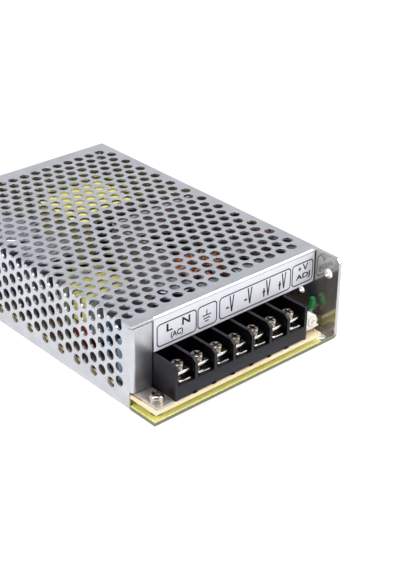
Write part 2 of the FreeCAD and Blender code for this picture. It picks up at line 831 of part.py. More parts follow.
def make_fixings():
    standoffs = []
    screws = []
    bore = "board_screw_radius + board_screw_gap"
    for index, (x, y) in enumerate(board_fixings()):
        height = "(board_height - chassis_sheet)"
        sleeve = rod(f"standoff_sleeve_{index}", x, y, "chassis_sheet", "standoff_radius", height)
        hole = rod(f"standoff_bore_{index}", x, y, "chassis_sheet", bore, height)
        standoffs.append(carved(f"standoff_{index}", sleeve, [hole]))
        if index == 0:
            head_z = f"({BOARD_TOP} + tab_thickness + lock_washer_height)"
            foot = f"({head_z} - board_screw_length - tab_thickness - lock_washer_height)"
            shank_length = "board_screw_length + tab_thickness + lock_washer_height"
        else:
            head_z = BOARD_TOP
            foot = f"({head_z} - board_screw_length)"
            shank_length = "board_screw_length"
        shank = rod(f"fixing_shank_{index}", x, y, foot, "board_screw_radius", shank_length)
        head = pan_head(f"fixing_head_{index}", x, y, head_z)
        label = "earth_screw" if index == 0 else f"board_screw_{index}"
        screw = joined(label, [shank, head])
        if index:
            screws.append(screw)
    group("board_standoffs", standoffs)
    group("board_screws", screws)
    x, y = board_fixings()[0]
    z = f"({BOARD_TOP} + tab_thickness)"
    disc = rod("lock_washer_disc", x, y, z, "board_screw_head_radius", "lock_washer_height")
    hole = rod("lock_washer_hole", x, y, z, bore, "lock_washer_height")
    carved("earth_lock_washer", disc, [hole])


def pan_head(label, x, y, z):
    """A low domed screw head with a cross slot."""
    head = rod(label + "_disc", x, y, z, "board_screw_head_radius", "board_screw_head_height")
    doc.recompute()
    top = number(z) + size("board_screw_head_height")
    dome = softened(label + "_dome", head, size("head_dome") * size("board_screw_head_height"),
                    lambda edge: abs(edge.CenterOfMass.z - top) < 1e-3 and len(edge.Vertexes) == 1)
    reach = "board_screw_head_radius*head_slot_reach"
    slot = "screw_slot_width"
    deep = f"({z} + board_screw_head_height - screw_slot_depth)"
    one = block(label + "_slot_a", f"{x} - {reach}", f"{y} - {slot}/2", deep,
                f"2*{reach}", slot, "2*screw_slot_depth")
    two = block(label + "_slot_b", f"{x} - {slot}/2", f"{y} - {reach}", deep,
                slot, f"2*{reach}", "2*screw_slot_depth")
    return carved(label, dome, [one, two])


def make_earth_tab():
    """A flat tab that runs from the board's front corner to under the corner flange."""
    body = new_body("earth_tab")
    x, y = board_fixings()[0]
    left = f"({LEFT} + cover_gap + tab_side_inset)"
    right = f"({BLOCK_LEFT} - tab_side_inset)"
    front = f"({BOARD_FRONT} + tab_front_inset)"
    rear = f"({WAIST} - tab_rear_gap)"
    pad(body, "tab_plate", "xy", [
        (left, front, "tab_corner"),
        (right, front, "tab_corner"),
        (right, rear),
        (left, rear),
    ], BOARD_TOP, "tab_thickness")
    bored(body, "tab_hole", "xy", [(x, y, "board_screw_radius + board_screw_gap")])


def make_cover_screws():
    screws = []
    for index, side in enumerate(("-1*", "")):
        x = f"({side}cover_screw_spacing/2)"
        start = f"({REAR} - cover_screw_length)"
        shank = rod(f"cover_shank_{index}", x, start, "cover_screw_height",
                    "cover_screw_radius", "cover_screw_length", "y")
        head = rod(f"cover_head_{index}", x, REAR, "cover_screw_height",
                   "cover_screw_head_radius", "cover_screw_head_height", "y")
        screws.append(joined(f"cover_screw_{index}", [shank, head]))
    group("cover_screws", screws)


# Terminal block: one moulding with a deck, a back and eight barriers


def way_centre(way):
    """X of the middle of a terminal way, counted from 1 at the left."""
    return f"({BLOCK_LEFT} + barrier_thickness/2 + {way - 0.5}*way_pitch)"


def terminal_ways():
    return range(1, int(size("ways")) + 1)


SCREW_Y = f"({BLOCK_FRONT} + screw_setback)"
PLATE_TOP = f"({DECK_TOP} + terminal_thickness)"
CLAMP_BOTTOM = f"({PLATE_TOP} + clamp_rib + screw_backed_out)"
CLAMP_TOP = f"({CLAMP_BOTTOM} + clamp_thickness)"
HEAD_BOTTOM = f"({CLAMP_TOP} + clamp_gap)"


def make_terminal_block():
    body = new_body("terminal_block")
    back = f"({BLOCK_FRONT} + block_depth)"
    foot = f"({BOARD_TOP} + block_foot)"
    top = f"({BOARD_TOP} + barrier_height)"
    pad(body, "deck_and_back", "yz", [
        (BLOCK_FRONT, foot),
        (back, foot),
        (back, top),
        (f"({back} - block_back_thickness)", top),
        (f"({back} - block_back_thickness)", DECK_TOP),
        (BLOCK_FRONT, DECK_TOP),
    ], BLOCK_LEFT, "block_width")
    barrier = pad(body, "barrier", "yz", [
        (BLOCK_FRONT, foot),
        (back, foot),
        (back, top),
        (f"({BLOCK_FRONT} + barrier_cut_length)", top),
        (BLOCK_FRONT, f"({top} - barrier_cut_height)"),
    ], BLOCK_LEFT, "barrier_thickness")
    row = body.newObject("PartDesign::LinearPattern", "barriers")
    row.Originals = [barrier]
    row.Direction = (barrier.Profile[0], ["N_Axis"])
    bind(row, Length="ways*way_pitch", Occurrences="ways + 1")
    body.Tip = row
    cheek = pad(body, "cheek", "yz", [
        (BLOCK_FRONT, foot),
        (back, foot),
        (back, top),
        (f"({BLOCK_FRONT} + cheek_cut)", top),
        (BLOCK_FRONT, f"({top} - cheek_cut)"),
    ], BLOCK_LEFT, "barrier_thickness")
    pair = body.newObject("PartDesign::LinearPattern", "cheeks")
    pair.Originals = [cheek]
    pair.Direction = (cheek.Profile[0], ["N_Axis"])
    pair.Occurrences = 2
    bind(pair, Length="ways*way_pitch")
    body.Tip = pair
    nub_depth = "2*barrier_thickness"
    nub = pad(body, "nub", "xy", [
        (BLOCK_LEFT, BLOCK_FRONT),
        (f"({BLOCK_LEFT} + barrier_thickness)", BLOCK_FRONT),
        (f"({BLOCK_LEFT} + barrier_thickness)", f"({BLOCK_FRONT} + {nub_depth})"),
        (BLOCK_LEFT, f"({BLOCK_FRONT} + {nub_depth})"),
    ], BOARD_TOP, "block_foot + block_deck/2")
    feet = body.newObject("PartDesign::LinearPattern", "nubs")
    feet.Originals = [nub]
    feet.Direction = (nub.Profile[0], ["H_Axis"])
    bind(feet, Length="ways*way_pitch", Occurrences="ways + 1")
    body.Tip = feet
    doc.recompute()
    bores = [(way_centre(way), SCREW_Y, "screw_shank_radius + screw_bore_gap")
             for way in terminal_ways()]
    bored(body, "screw_bores", "xy", bores)


def make_terminal_ways():
    plates = []
    for way in terminal_ways():
        x = way_centre(way)
        plate = block(f"plate_{way}_blank", f"({x} - terminal_width/2)",
                      f"({BLOCK_FRONT} + terminal_setback)", DECK_TOP,
                      "terminal_width", "terminal_length", "terminal_thickness")
        hole = rod(f"plate_{way}_hole", x, SCREW_Y, DECK_TOP,
                   "screw_shank_radius + clamp_gap", "terminal_thickness")
        plates.append(carved(f"terminal_plate_{way}", plate, [hole]))
        make_clamp(way, x)
        make_terminal_screw(way, x)
    group("terminal_plates", plates)


def make_clamp(way, x):
    """The square captive washer under a terminal screw, with a rib along two of its edges."""
    left = f"({x} - clamp_width/2)"
    front = f"({SCREW_Y} - clamp_length/2)"
    blank = block(f"clamp_{way}_blank", left, front, CLAMP_BOTTOM,
                  "clamp_width", "clamp_length", "clamp_thickness")
    rib_z = f"({CLAMP_BOTTOM} - clamp_rib)"
    near = block(f"clamp_{way}_rib_a", left, front, rib_z,
                 "clamp_width", "clamp_thickness", "clamp_rib + clamp_thickness")
    far = block(f"clamp_{way}_rib_b", left, f"({SCREW_Y} + clamp_length/2 - clamp_thickness)", rib_z,
                "clamp_width", "clamp_thickness", "clamp_rib + clamp_thickness")
    saddle = joined(f"clamp_{way}_saddle", [blank, near, far])
    hole = rod(f"clamp_{way}_hole", x, SCREW_Y, f"({CLAMP_BOTTOM} - clamp_rib)",
               "screw_shank_radius + clamp_gap", "2*clamp_rib + clamp_thickness")
    carved(f"terminal_clamp_{way}", saddle, [hole])


def make_terminal_screw(way, x):
    shank = rod(f"screw_{way}_shank", x, SCREW_Y, f"({HEAD_BOTTOM} - screw_length)",
                "screw_shank_radius", "screw_length")
    head = rod(f"screw_{way}_head", x, SCREW_Y, HEAD_BOTTOM, "screw_head_radius", "screw_head_height")
    top = number(HEAD_BOTTOM) + size("screw_head_height")
    dome = softened(f"screw_{way}_dome", head, size("screw_dome") * size("screw_head_height"),
                    lambda edge: abs(edge.CenterOfMass.z - top) < 1e-3 and len(edge.Vertexes) == 1)
    blank = joined(f"screw_{way}_blank", [shank, dome])
    deep = f"({HEAD_BOTTOM} + screw_head_height - screw_slot_depth)"
    reach = "screw_head_radius"
    cross_reach = f"{reach}*screw_cross_reach"
    slot = block(f"screw_{way}_slot", f"{x} - {reach} - cut_over", f"{SCREW_Y} - screw_slot_width/2", deep,
                 f"2*({reach} + cut_over)", "screw_slot_width", "2*screw_slot_depth")
    cross = block(f"screw_{way}_cross", f"{x} - screw_slot_width/2", f"{SCREW_Y} - {cross_reach}", deep,
                  "screw_slot_width", f"2*{cross_reach}", "2*screw_slot_depth")
    carved(f"terminal_screw_{way}", blank, [slot, cross])


# Trimmer and indicator lamp


def make_trimmer():
    z = f"({BOARD_TOP} + trimmer_stand)"
    front = f"({BOARD_FRONT} + trimmer_setback)"
    half = "trimmer_width/2"
    shoulder = f"({z} + trimmer_height - {half})"
    lower = block("trimmer_lower", f"trimmer_x - {half}", front, z,
                  "trimmer_width", "trimmer_depth", f"trimmer_height - {half}")
    crown = rod("trimmer_crown", "trimmer_x", front, shoulder, half, "trimmer_depth", "y")
    rim = block("trimmer_rim_plate", f"trimmer_x - {half} - trimmer_rim", f"{front} - trimmer_rim", z,
                "trimmer_width + 2*trimmer_rim", "trimmer_depth + 2*trimmer_rim", "trimmer_rim_height")
    housing = joined("trimmer_housing", [lower, crown, rim])
    seat = rod("trimmer_seat", "trimmer_x", f"{front} - trimmer_rim", shoulder,
               "rotor_radius + rotor_gap", "rotor_depth + trimmer_rim", "y")
    carved("trimmer_body", housing, [seat])
    disc = rod("rotor_disc", "trimmer_x", f"{front} - rotor_proud", shoulder,
               "rotor_radius", "rotor_depth + rotor_proud - rotor_gap", "y")
    slots = []
    for name, wide, high in (("rotor_slot", "2*rotor_slot_reach", "rotor_slot_width"),
                             ("rotor_cross", "rotor_slot_width", "2*rotor_slot_reach")):
        slots.append(block(name, f"trimmer_x - {wide}/2", f"{front} - rotor_proud - cut_over",
                           f"{shoulder} - {high}/2", wide, "rotor_slot_depth + cut_over", high))
    carved("trimmer_rotor", disc, slots)
    pins = []
    middle = f"({front} + trimmer_depth/2)"
    spots = (
        ("trimmer_x - pin_spread", f"{middle} - pin_front_offset"),
        ("trimmer_x + pin_spread", f"{middle} - pin_front_offset"),
        ("trimmer_x", f"{middle} + pin_rear_offset"),
    )
    for index, (x, y) in enumerate(spots):
        pins.append(rod(f"trimmer_pin_{index}", x, y, BOARD_TOP, "pin_radius", "trimmer_stand"))
    group("trimmer_pins", pins)


def leaning(item, pivot):
    """Tilt a finished piece about a point on the board, towards the wall."""
    doc.recompute()
    turn = FreeCAD.Rotation(FreeCAD.Vector(0, 1, 0), size("lamp_lean"))
    item.Placement = FreeCAD.Placement(FreeCAD.Vector(), turn, pivot)


def make_lamp():
    """The indicator: a round lens with a collar, on two long leads, leaning to the right."""
    y = f"({BOARD_FRONT} + lamp_setback)"
    collar_z = f"({BOARD_TOP} + lamp_stand)"
    collar = rod("lamp_collar", "lamp_x", y, collar_z, "lamp_flange_radius", "lamp_flange_height")
    barrel = rod("lamp_barrel", "lamp_x", y, collar_z, "lamp_radius", "lamp_length - lamp_radius")
    dome = doc.addObject("Part::Sphere", "lamp_dome")
    bind(dome, Radius="lamp_radius")
    place(dome, "lamp_x", y, f"{collar_z} + lamp_length - lamp_radius")
    lens = joined("indicator_lens", [collar, barrel, dome])
    leads = []
    for index, side in enumerate(("-1*", "")):
        leads.append(rod(f"lamp_lead_{index}", f"lamp_x + {side}lamp_lead_spacing/2", y,
                         f"({SEAT} + lamp_lead_lift)", "lamp_lead_radius",
                         "lamp_stand - seat_gap - lamp_lead_lift"))
    pair = group("indicator_leads", leads)
    pivot = FreeCAD.Vector(size("lamp_x"), number(y), number(BOARD_TOP))
    leaning(lens, pivot)
    leaning(pair, pivot)


# Heatsink and the power devices screwed to it


def make_heatsink():
    body = new_body("heatsink")
    x, y = "sink_corner_x", "sink_corner_y"
    pad(body, "sink_fold", "xy", [
        (x, f"({y} - sink_long_leg)"),
        (f"({x} + sink_thickness)", f"({y} - sink_long_leg)"),
        (f"({x} + sink_thickness)", f"({y} - sink_thickness)"),
        (f"({x} + sink_cross_leg)", f"({y} - sink_thickness)"),
        (f"({x} + sink_cross_leg)", y),
        (x, y, "sink_thickness"),
    ], SEAT, f"sink_top - {SEAT}")


def power_device(label, x, y, facing):
    """A flat three-legged device standing on its legs, its tab against a plate."""
    base = f"({BOARD_TOP} + device_stand)"
    if facing == "x":
        case = block(label + "_case", x, f"({y} - device_width/2)", base,
                     "device_thickness", "device_width", "device_height")
    else:
        case = block(label + "_case", f"({x} - device_width/2)", y, base,
                     "device_width", "device_thickness", "device_height")
    legs = []
    for index in (-1, 0, 1):
        along = f"{index}*lead_pitch - lead_width/2"
        if facing == "x":
            spot = (f"{x} + device_thickness/2 - lead_width/2", f"{y} + {along}")
        else:
            spot = (f"{x} + {along}", f"{y} + device_thickness/2 - lead_width/2")
        legs.append(block(f"{label}_leg_{index + 1}", spot[0], spot[1], BOARD_TOP,
                          "lead_width", "lead_width", "device_stand"))
    return joined(label, [case] + legs)


def make_devices():
    inner = "(sink_corner_x + sink_thickness + seat_gap)"
    middle = "(sink_corner_y - sink_long_leg/2)"
    switches = [power_device(f"power_transistor_{index}", inner,
                             f"({middle} + {index - 0.5}*device_spacing)", "x")
                for index in range(2)]
    group("power_transistors", switches)
    cross = "(sink_corner_y - sink_thickness - seat_gap - device_thickness)"
    last = "(sink_corner_x + sink_cross_leg - rectifier_inset)"
    rectifiers = [power_device(f"output_rectifier_{index}",
                               f"({last} - {index}*device_spacing)",
                               cross, "y")
                  for index in range(2)]
    group("output_rectifiers", rectifiers)
    left = "(bridge_right - bridge_width)"
    bridge = block("bridge_case", left, "bridge_y", f"({BOARD_TOP} + device_stand)",
                   "bridge_width", "bridge_thickness", "bridge_height")
    legs = []
    for index in range(4):
        legs.append(block(f"bridge_leg_{index}", f"{left} + bridge_leg_inset + {index}*bridge_leg_pitch",
                          "bridge_y + bridge_thickness/2 - lead_width/2", BOARD_TOP,
                          "lead_width", "lead_width", "device_stand"))
    joined("bridge_rectifier", [bridge] + legs)


# Wound parts


def make_transformer():
    left = "(transformer_x - transformer_width/2)"
    front = "(transformer_y - transformer_length/2)"
    base = f"({BOARD_TOP} + transformer_stand)"
    core_left = "(transformer_x + core_offset - core_width/2)"
    core_front = f"({front} - core_proud)"
    coil = block("transformer_coil_block", left, front, base,
                 "transformer_width", "transformer_length", "transformer_height")
    rounded = softened("transformer_coil_round", coil, size("transformer_round"), upright)
    core_height = "(transformer_height + transformer_stand - seat_gap + core_proud)"
    core = block("transformer_core_front", core_left, core_front, SEAT,
                 "core_width", "core_depth", core_height)
    foot = block("transformer_core_foot", core_left, core_front, SEAT,
                 "core_width", "transformer_length + 2*core_proud", "transformer_stand - seat_gap")
    core_rear = f"{core_front} + transformer_length + core_proud"
    rear = block("transformer_core_rear", core_left, core_rear, SEAT,
                 "core_width", "core_proud", "transformer_height/2")
    notch = block("transformer_notch", core_left, core_front, base,
                  "core_width", "core_depth", "transformer_height + 2*core_proud")
    carved("transformer_winding", rounded, [notch])
    joined("transformer_core", [core, foot, rear])


def make_line_filter():
    """A taped coil on a bobbin; its core has a yoke in front, one behind and a limb between."""
    x, y = "filter_coil_x", "filter_coil_y"
    left = f"({x} - filter_coil_width/2)"
    front = f"({y} - filter_coil_length/2)"
    coil_z = f"({SEAT} + filter_bobbin_height)"
    coil = block("filter_coil_block", left, front, coil_z,
                 "filter_coil_width", "filter_coil_length", "filter_coil_height")
    rounded = softened("filter_coil_soft", coil, size("filter_coil_round"), upright)
    limb_left = f"({x} - filter_limb_width/2)"
    limb_z = f"({coil_z} + (filter_coil_height - filter_limb_height)/2)"
    tunnel = block("filter_coil_tunnel", f"({limb_left} - seat_gap)", f"({front} - cut_over)",
                   f"({limb_z} - seat_gap)", "filter_limb_width + 2*seat_gap",
                   "filter_coil_length + 2*cut_over", "filter_limb_height + 2*seat_gap")
    carved("line_filter_coil", rounded, [tunnel])
    block("line_filter_bobbin", f"({left} + filter_bobbin_inset)", f"({front} + filter_bobbin_inset)",
          SEAT, "filter_coil_width - 2*filter_bobbin_inset",
          "filter_coil_length - 2*filter_bobbin_inset", "filter_bobbin_height")
    yokes = []
    yoke_height = f"({coil_z} + filter_coil_height - filter_yoke_base)"
    for name, start in (("near", f"({front} - seat_gap - filter_yoke_depth)"),
                        ("far", f"({front} + filter_coil_length + seat_gap)")):
        yokes.append(block(f"filter_yoke_{name}", left, start, "filter_yoke_base",
                           "filter_coil_width", "filter_yoke_depth", yoke_height))
    limb = block("filter_limb", limb_left, f"({front} - seat_gap)", limb_z,
                 "filter_limb_width", "filter_coil_length + 2*seat_gap", "filter_limb_height")
    joined("line_filter_core", yokes + [limb])


def make_output_choke():
    z = f"({BOARD_TOP} + choke_stand + choke_wire)"
    ring_height = "choke_height - 2*choke_wire"
    ring = rod("choke_ring_blank", "choke_x", "choke_y", z,
               "choke_outer_radius - choke_wire", ring_height)
    eye = rod("choke_eye", "choke_x", "choke_y", z, "choke_inner_radius + choke_wire", ring_height)
    carved("output_choke_core", ring, [eye])
    # Each turn is a closed loop of round wire about the ring's section
    wire = size("choke_wire") / 2
    gap = size("seat_gap") / 2
    inner = size("choke_inner_radius") + wire - gap
    outer = size("choke_outer_radius") - wire + gap
    low = number(z) - wire - gap
    high = number(z) + number(ring_height) + wire + gap
    corner = size("choke_bend") * wire
    turns = []
    count = int(size("choke_turns"))
    for turn in range(count):
        path = loop_path(inner, outer, low, high, corner)
        start = FreeCAD.Vector((inner + outer) / 2, 0, low)
        section = Part.Wire(Part.makeCircle(wire, start, FreeCAD.Vector(1, 0, 0)))
        solid = path.makePipeShell([section], True, False)
        angle = 360.0 * turn / count + size("choke_first_angle")
        solid.rotate(FreeCAD.Vector(), FreeCAD.Vector(0, 0, 1), angle)
        solid.translate(FreeCAD.Vector(size("choke_x"), size("choke_y"), 0))
        turns.append(solid)
    item = doc.addObject("Part::Feature", "output_choke_winding")
    item.Shape = Part.makeCompound(turns)


def loop_path(inner, outer, low, high, corner):
    """A rounded rectangle in the XZ plane, started in the middle of its lower side."""
    middle = (inner + outer) / 2

    def point(x, z):
        return FreeCAD.Vector(x, 0, z)

    def bend(cx, cz, a, b):
        ends = []
        for angle in (a, (a + b) / 2, b):
            turn = math.radians(angle)
            ends.append(point(cx + corner * math.cos(turn), cz + corner * math.sin(turn)))
        return Part.Arc(*ends).toShape()

    edges = [
        Part.makeLine(point(middle, low), point(outer - corner, low)),
        bend(outer - corner, low + corner, -90, 0),
        Part.makeLine(point(outer, low + corner), point(outer, high - corner)),
        bend(outer - corner, high - corner, 0, 90),
        Part.makeLine(point(outer - corner, high), point(inner + corner, high)),
        bend(inner + corner, high - corner, 90, 180),
        Part.makeLine(point(inner, high - corner), point(inner, low + corner)),
        bend(inner + corner, low + corner, 180, 270),
        Part.makeLine(point(inner + corner, low), point(middle, low)),
    ]
    return Part.Wire(edges)


# Capacitors


def can(label, x, y, radius, height):
    """An upright round capacitor with a soft upper rim and a crimp near its foot."""
    sleeve = rod(label + "_sleeve", x, y, SEAT, radius, height)
    top = number(SEAT) + number(height)
    rim = softened(label + "_rim", sleeve, size("can_rim"),
                   lambda edge: abs(edge.CenterOfMass.z - top) < 1e-3 and len(edge.Vertexes) == 1)
    z = f"({SEAT} + can_crimp_rise)"
    ring = rod(label + "_crimp_ring", x, y, z, f"{radius} + cut_over", "can_crimp_width")
    core = rod(label + "_crimp_core", x, y, z, f"{radius} - can_crimp_depth", "can_crimp_width")
    crimp = carved(label + "_crimp", ring, [core])
    return carved(label, rim, [crimp])


def make_capacitors():
    group("bulk_capacitors", [
        can("bulk_capacitor_1", "bulk_x", "bulk_y", "bulk_radius", "bulk_height"),
        can("bulk_capacitor_2", "bulk_x", "(bulk_y + bulk_spacing)", "bulk_radius", "bulk_height"),
    ])
    group("filter_capacitor", [
        can("filter_capacitor_can", "filter_cap_x", "filter_cap_y",
            "filter_cap_radius", "filter_cap_height"),
    ])
    for name in ("output", "small"):
        group(f"{name}_capacitors", [
            can(f"{name}_capacitor_{index}", f"{name}_cap_{index}_x", f"{name}_cap_{index}_y",
                f"{name}_cap_radius", f"{name}_cap_height")
            for index in range(1, 5)
        ])
    left = "(box_cap_x - box_cap_width/2)"
    front = "(box_cap_y - box_cap_length/2)"
    box = block("box_capacitor_blank", left, front, SEAT,
                "box_cap_width", "box_cap_length", "box_cap_height")
    softened("mains_capacitor", box, size("box_cap_round"), upright)
    discs = []
    for index in (1, 2):
        discs.append(standing_disc(f"disc_{index}", f"disc_cap_{index}_x", "disc_cap_y",
                                   "disc_cap_radius", "disc_cap_thickness", "disc_cap_height"))
    group("safety_capacitors", discs)


def standing_disc(label, x, y, radius, thickness, height):
    """A coated disc on two wires, its flat faces towards +Y and -Y and its middle at (x, y)."""
    disc = rod(label + "_disc", x, f"({y} - {thickness}/2)", f"({BOARD_TOP} + {height} - {radius})",
               radius, thickness, "y")
    legs = []
    for index, side in enumerate(("-1*", "")):
        legs.append(rod(f"{label}_leg_{index}", f"({x} + {side}lead_pitch)", y,
                        BOARD_TOP, "pin_radius", f"{height} - {radius}"))
    return joined(label, [disc] + legs)


# Smaller parts


def make_fuse():
    """A glass fuse with a cap at each end, each cap in its own open clip."""
    z = f"({BOARD_TOP} + fuse_height)"
    left = "(fuse_x - fuse_length/2)"
    glass_left = f"({left} + fuse_cap_length)"
    rod("fuse_glass", glass_left, "fuse_y", z, "fuse_radius - fuse_glass_step",
        "fuse_length - 2*fuse_cap_length", "x")
    caps = []
    clips = []
    half = "(fuse_radius + clip_wall)"
    for index in range(2):
        start = f"({left} + {index}*(fuse_length - fuse_cap_length))"
        caps.append(rod(f"fuse_cap_{index}", start, "fuse_y", z, "fuse_radius", "fuse_cap_length", "x"))
        blank = block(f"fuse_clip_blank_{index}", f"{start} + clip_inset", f"(fuse_y - {half})", BOARD_TOP,
                      "fuse_cap_length - 2*clip_inset", f"2*{half}", "fuse_height + clip_rise")
        seat = rod(f"fuse_clip_seat_{index}", start, "fuse_y", z, "fuse_radius + clip_gap",
                   "fuse_cap_length", "x")
        mouth = block(f"fuse_clip_mouth_{index}", start, "(fuse_y - clip_mouth/2)", z,
                      "fuse_cap_length", "clip_mouth", "fuse_height")
        clips.append(carved(f"fuse_clip_{index}", blank, [seat, mouth]))
    group("fuse_caps", caps)
    group("fuse_clips", clips)


def make_driver_transformer():
    """The small transformer at the rear: a bobbin, a core on it and a coil over the core."""
    left = "(driver_x - driver_width/2)"
    front = "(driver_y - driver_length/2)"
    core_z = f"({SEAT} + driver_foot)"
    block("driver_transformer_core", left, front, core_z,
          "driver_width", "driver_length", "driver_height - 2*driver_foot")
    block("driver_transformer_bobbin", f"({left} + driver_foot_inset)", f"({front} + driver_foot_inset)",
          SEAT, "driver_width - 2*driver_foot_inset", "driver_length - 2*driver_foot_inset",
          "driver_foot - seat_gap")
    block("driver_transformer_coil", f"({left} + driver_coil_inset)", f"({front} - driver_coil_proud)",
          f"({SEAT} + driver_height - driver_foot)", "driver_width - 2*driver_coil_inset",
          "driver_length + 2*driver_coil_proud", "driver_coil_height")


def make_controller():
    """The control chip, with a row of legs along each side."""
    left = "(chip_x - chip_width/2)"
    case = block("chip_case", left, "(chip_y - chip_length/2)", f"({BOARD_TOP} + chip_stand)",
                 "chip_width", "chip_length", "chip_height")
    count = int(size("chip_legs"))
    legs = []
    for side, edge in (("left", f"({left} - chip_leg_depth)"), ("right", f"({left} + chip_width)")):
        for index in range(count):
            along = f"({index} - (chip_legs - 1)/2)*lead_pitch"
            legs.append(block(f"chip_leg_{side}_{index}", edge, f"(chip_y + {along} - chip_leg_width/2)",
                              BOARD_TOP, "chip_leg_depth", "chip_leg_width", "chip_stand + chip_height/2"))
    joined("controller_chip", [case] + legs)


def make_small_parts():
    standing_disc("surge_varistor", "varistor_x", "varistor_y", "varistor_radius",
                  "varistor_thickness", "(varistor_stand + varistor_radius)")
    standing_disc("inrush_thermistor", "thermistor_x", "thermistor_y", "thermistor_radius",
                  "thermistor_thickness", "(thermistor_stand + thermistor_radius)")
    resistors = []
    for index in range(int(size("resistor_count"))):
        y = f"(resistor_y + ({index} - resistor_count/2)*resistor_pitch)"
        resistors.append(rod(f"resistor_{index}", "resistor_x", y, f"({SEAT} + resistor_radius)",
                             "resistor_radius", "resistor_length", "x"))
    group("resistors", resistors)


make_chassis()
make_cover()
make_film()
make_board()
make_fixings()
make_earth_tab()
make_cover_screws()
make_terminal_block()
make_terminal_ways()
make_trimmer()
make_lamp()
make_heatsink()
make_devices()
make_transformer()
make_line_filter()
make_output_choke()
make_capacitors()
make_fuse()
make_driver_transformer()
make_controller()
make_small_parts()

# One file for each sub-part

NODES = [
    "chassis", "cover", "insulating_film", "circuit_board", "board_standoffs", "board_screws",
    "cover_screws", "earth_tab", "earth_lock_washer", "earth_screw", "terminal_block",
    "terminal_plates", "trimmer_body", "trimmer_rotor", "trimmer_pins", "indicator_lens",
    "indicator_leads", "heatsink", "power_transistors", "output_rectifiers", "bridge_rectifier",
    "transformer_core", "transformer_winding", "line_filter_core", "line_filter_coil",
    "output_choke_core", "output_choke_winding", "bulk_capacitors", "filter_capacitor",
    "output_capacitors", "small_capacitors", "mains_capacitor", "safety_capacitors",
    "line_filter_bobbin", "fuse_glass", "fuse_caps", "fuse_clips", "surge_varistor", "inrush_thermistor",
    "driver_transformer_core", "driver_transformer_coil", "driver_transformer_bobbin",
    "controller_chip", "resistors",
]
for way in terminal_ways():
    NODES.append(f"terminal_clamp_{way}")
    NODES.append(f"terminal_screw_{way}")

doc.recompute()

failed = [item.Name for item in doc.Objects if {"Invalid", "Error"} & set(item.State)]
if failed:
    raise RuntimeError("These objects failed: " + ", ".join(failed))

os.makedirs("parts", exist_ok=True)
for label in NODES:
    item = doc.getObjectsByLabel(label)[0]
    if item.Shape.isNull() or not item.Shape.isValid():
        raise RuntimeError(f"{label} has no valid shape")
for label in NODES:
    item = doc.getObjectsByLabel(label)[0]
    item.Shape.exportStep(f"parts/{label}.step")
    solids = len(item.Shape.Solids)
    print(f"{label}: {solids} solid(s), {item.Shape.Volume:.1f} cubic mm")
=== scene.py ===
# %% [markdown]
# # A mesh case switching power supply
# The real object is a circuit board in a folded aluminium chassis, under a perforated steel
# cover, with a black screw terminal block in front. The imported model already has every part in
# its place, so this script gives each part its finish, puts finer pieces where the eye goes
# close, and sets up the camera and the light. All lengths are in metres and share the packed
# model's frame.

import math

import bmesh
import bpy
from mathutils import Matrix, Vector


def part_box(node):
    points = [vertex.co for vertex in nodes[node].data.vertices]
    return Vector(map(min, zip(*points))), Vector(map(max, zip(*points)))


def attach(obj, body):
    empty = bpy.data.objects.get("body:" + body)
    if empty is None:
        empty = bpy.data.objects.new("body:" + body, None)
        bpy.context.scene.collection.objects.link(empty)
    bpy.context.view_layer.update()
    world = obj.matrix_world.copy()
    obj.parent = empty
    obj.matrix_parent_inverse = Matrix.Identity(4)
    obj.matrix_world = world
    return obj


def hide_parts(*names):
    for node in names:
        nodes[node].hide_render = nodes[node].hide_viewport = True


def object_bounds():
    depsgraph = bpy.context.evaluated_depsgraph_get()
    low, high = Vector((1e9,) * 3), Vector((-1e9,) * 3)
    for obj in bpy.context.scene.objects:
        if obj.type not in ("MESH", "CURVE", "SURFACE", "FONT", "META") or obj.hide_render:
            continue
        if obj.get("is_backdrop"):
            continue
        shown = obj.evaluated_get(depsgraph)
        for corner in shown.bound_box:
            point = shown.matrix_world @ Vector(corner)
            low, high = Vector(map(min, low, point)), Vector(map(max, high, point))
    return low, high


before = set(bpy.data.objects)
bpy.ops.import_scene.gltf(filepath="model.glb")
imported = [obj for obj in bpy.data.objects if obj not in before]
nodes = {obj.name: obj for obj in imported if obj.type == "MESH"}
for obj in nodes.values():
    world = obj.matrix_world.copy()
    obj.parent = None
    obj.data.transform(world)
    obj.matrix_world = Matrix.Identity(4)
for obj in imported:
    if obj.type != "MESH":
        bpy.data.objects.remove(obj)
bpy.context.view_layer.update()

# %% [markdown]
# ## Camera
# The photograph looks down on the front left corner from about 29 degrees. The place and the
# focal length come from the regular grid of vent holes, whose spacing is known. The case runs
# out of the picture at the left, as it does in the photograph.

# %% Camera
MM = 0.001
RIGHT_WAY = Vector((0.746901, -0.664845, 0.010907))
UP_WAY = Vector((0.314487, 0.367659, 0.875171))
BACK_WAY = Vector((-0.585864, -0.650237, 0.483690))

lens = bpy.data.cameras.new("view")
lens.sensor_width = 36.0
lens.lens = 81.89
lens.clip_start = 0.01
lens.clip_end = 20.0
camera = bpy.data.objects.new("view", lens)
bpy.context.scene.collection.objects.link(camera)
turn = Matrix((RIGHT_WAY, UP_WAY, BACK_WAY)).transposed().to_4x4()
camera.matrix_world = Matrix.Translation(Vector((-303.94, -386.44, 280.69)) * MM) @ turn
bpy.context.scene.camera = camera
bpy.context.scene.view_settings.view_transform = "Standard"
print("camera at", [round(v, 3) for v in camera.location])

# %% [markdown]
# ## Helpers for materials
# A real finish is never one flat colour. Each material below blends two tones with a fine grain
# of a real size in millimetres and a slow cloudiness, and lets the roughness and the relief
# follow the same grain. Colours are written as on a screen and turned to linear light once.

# %% Colours and nodes


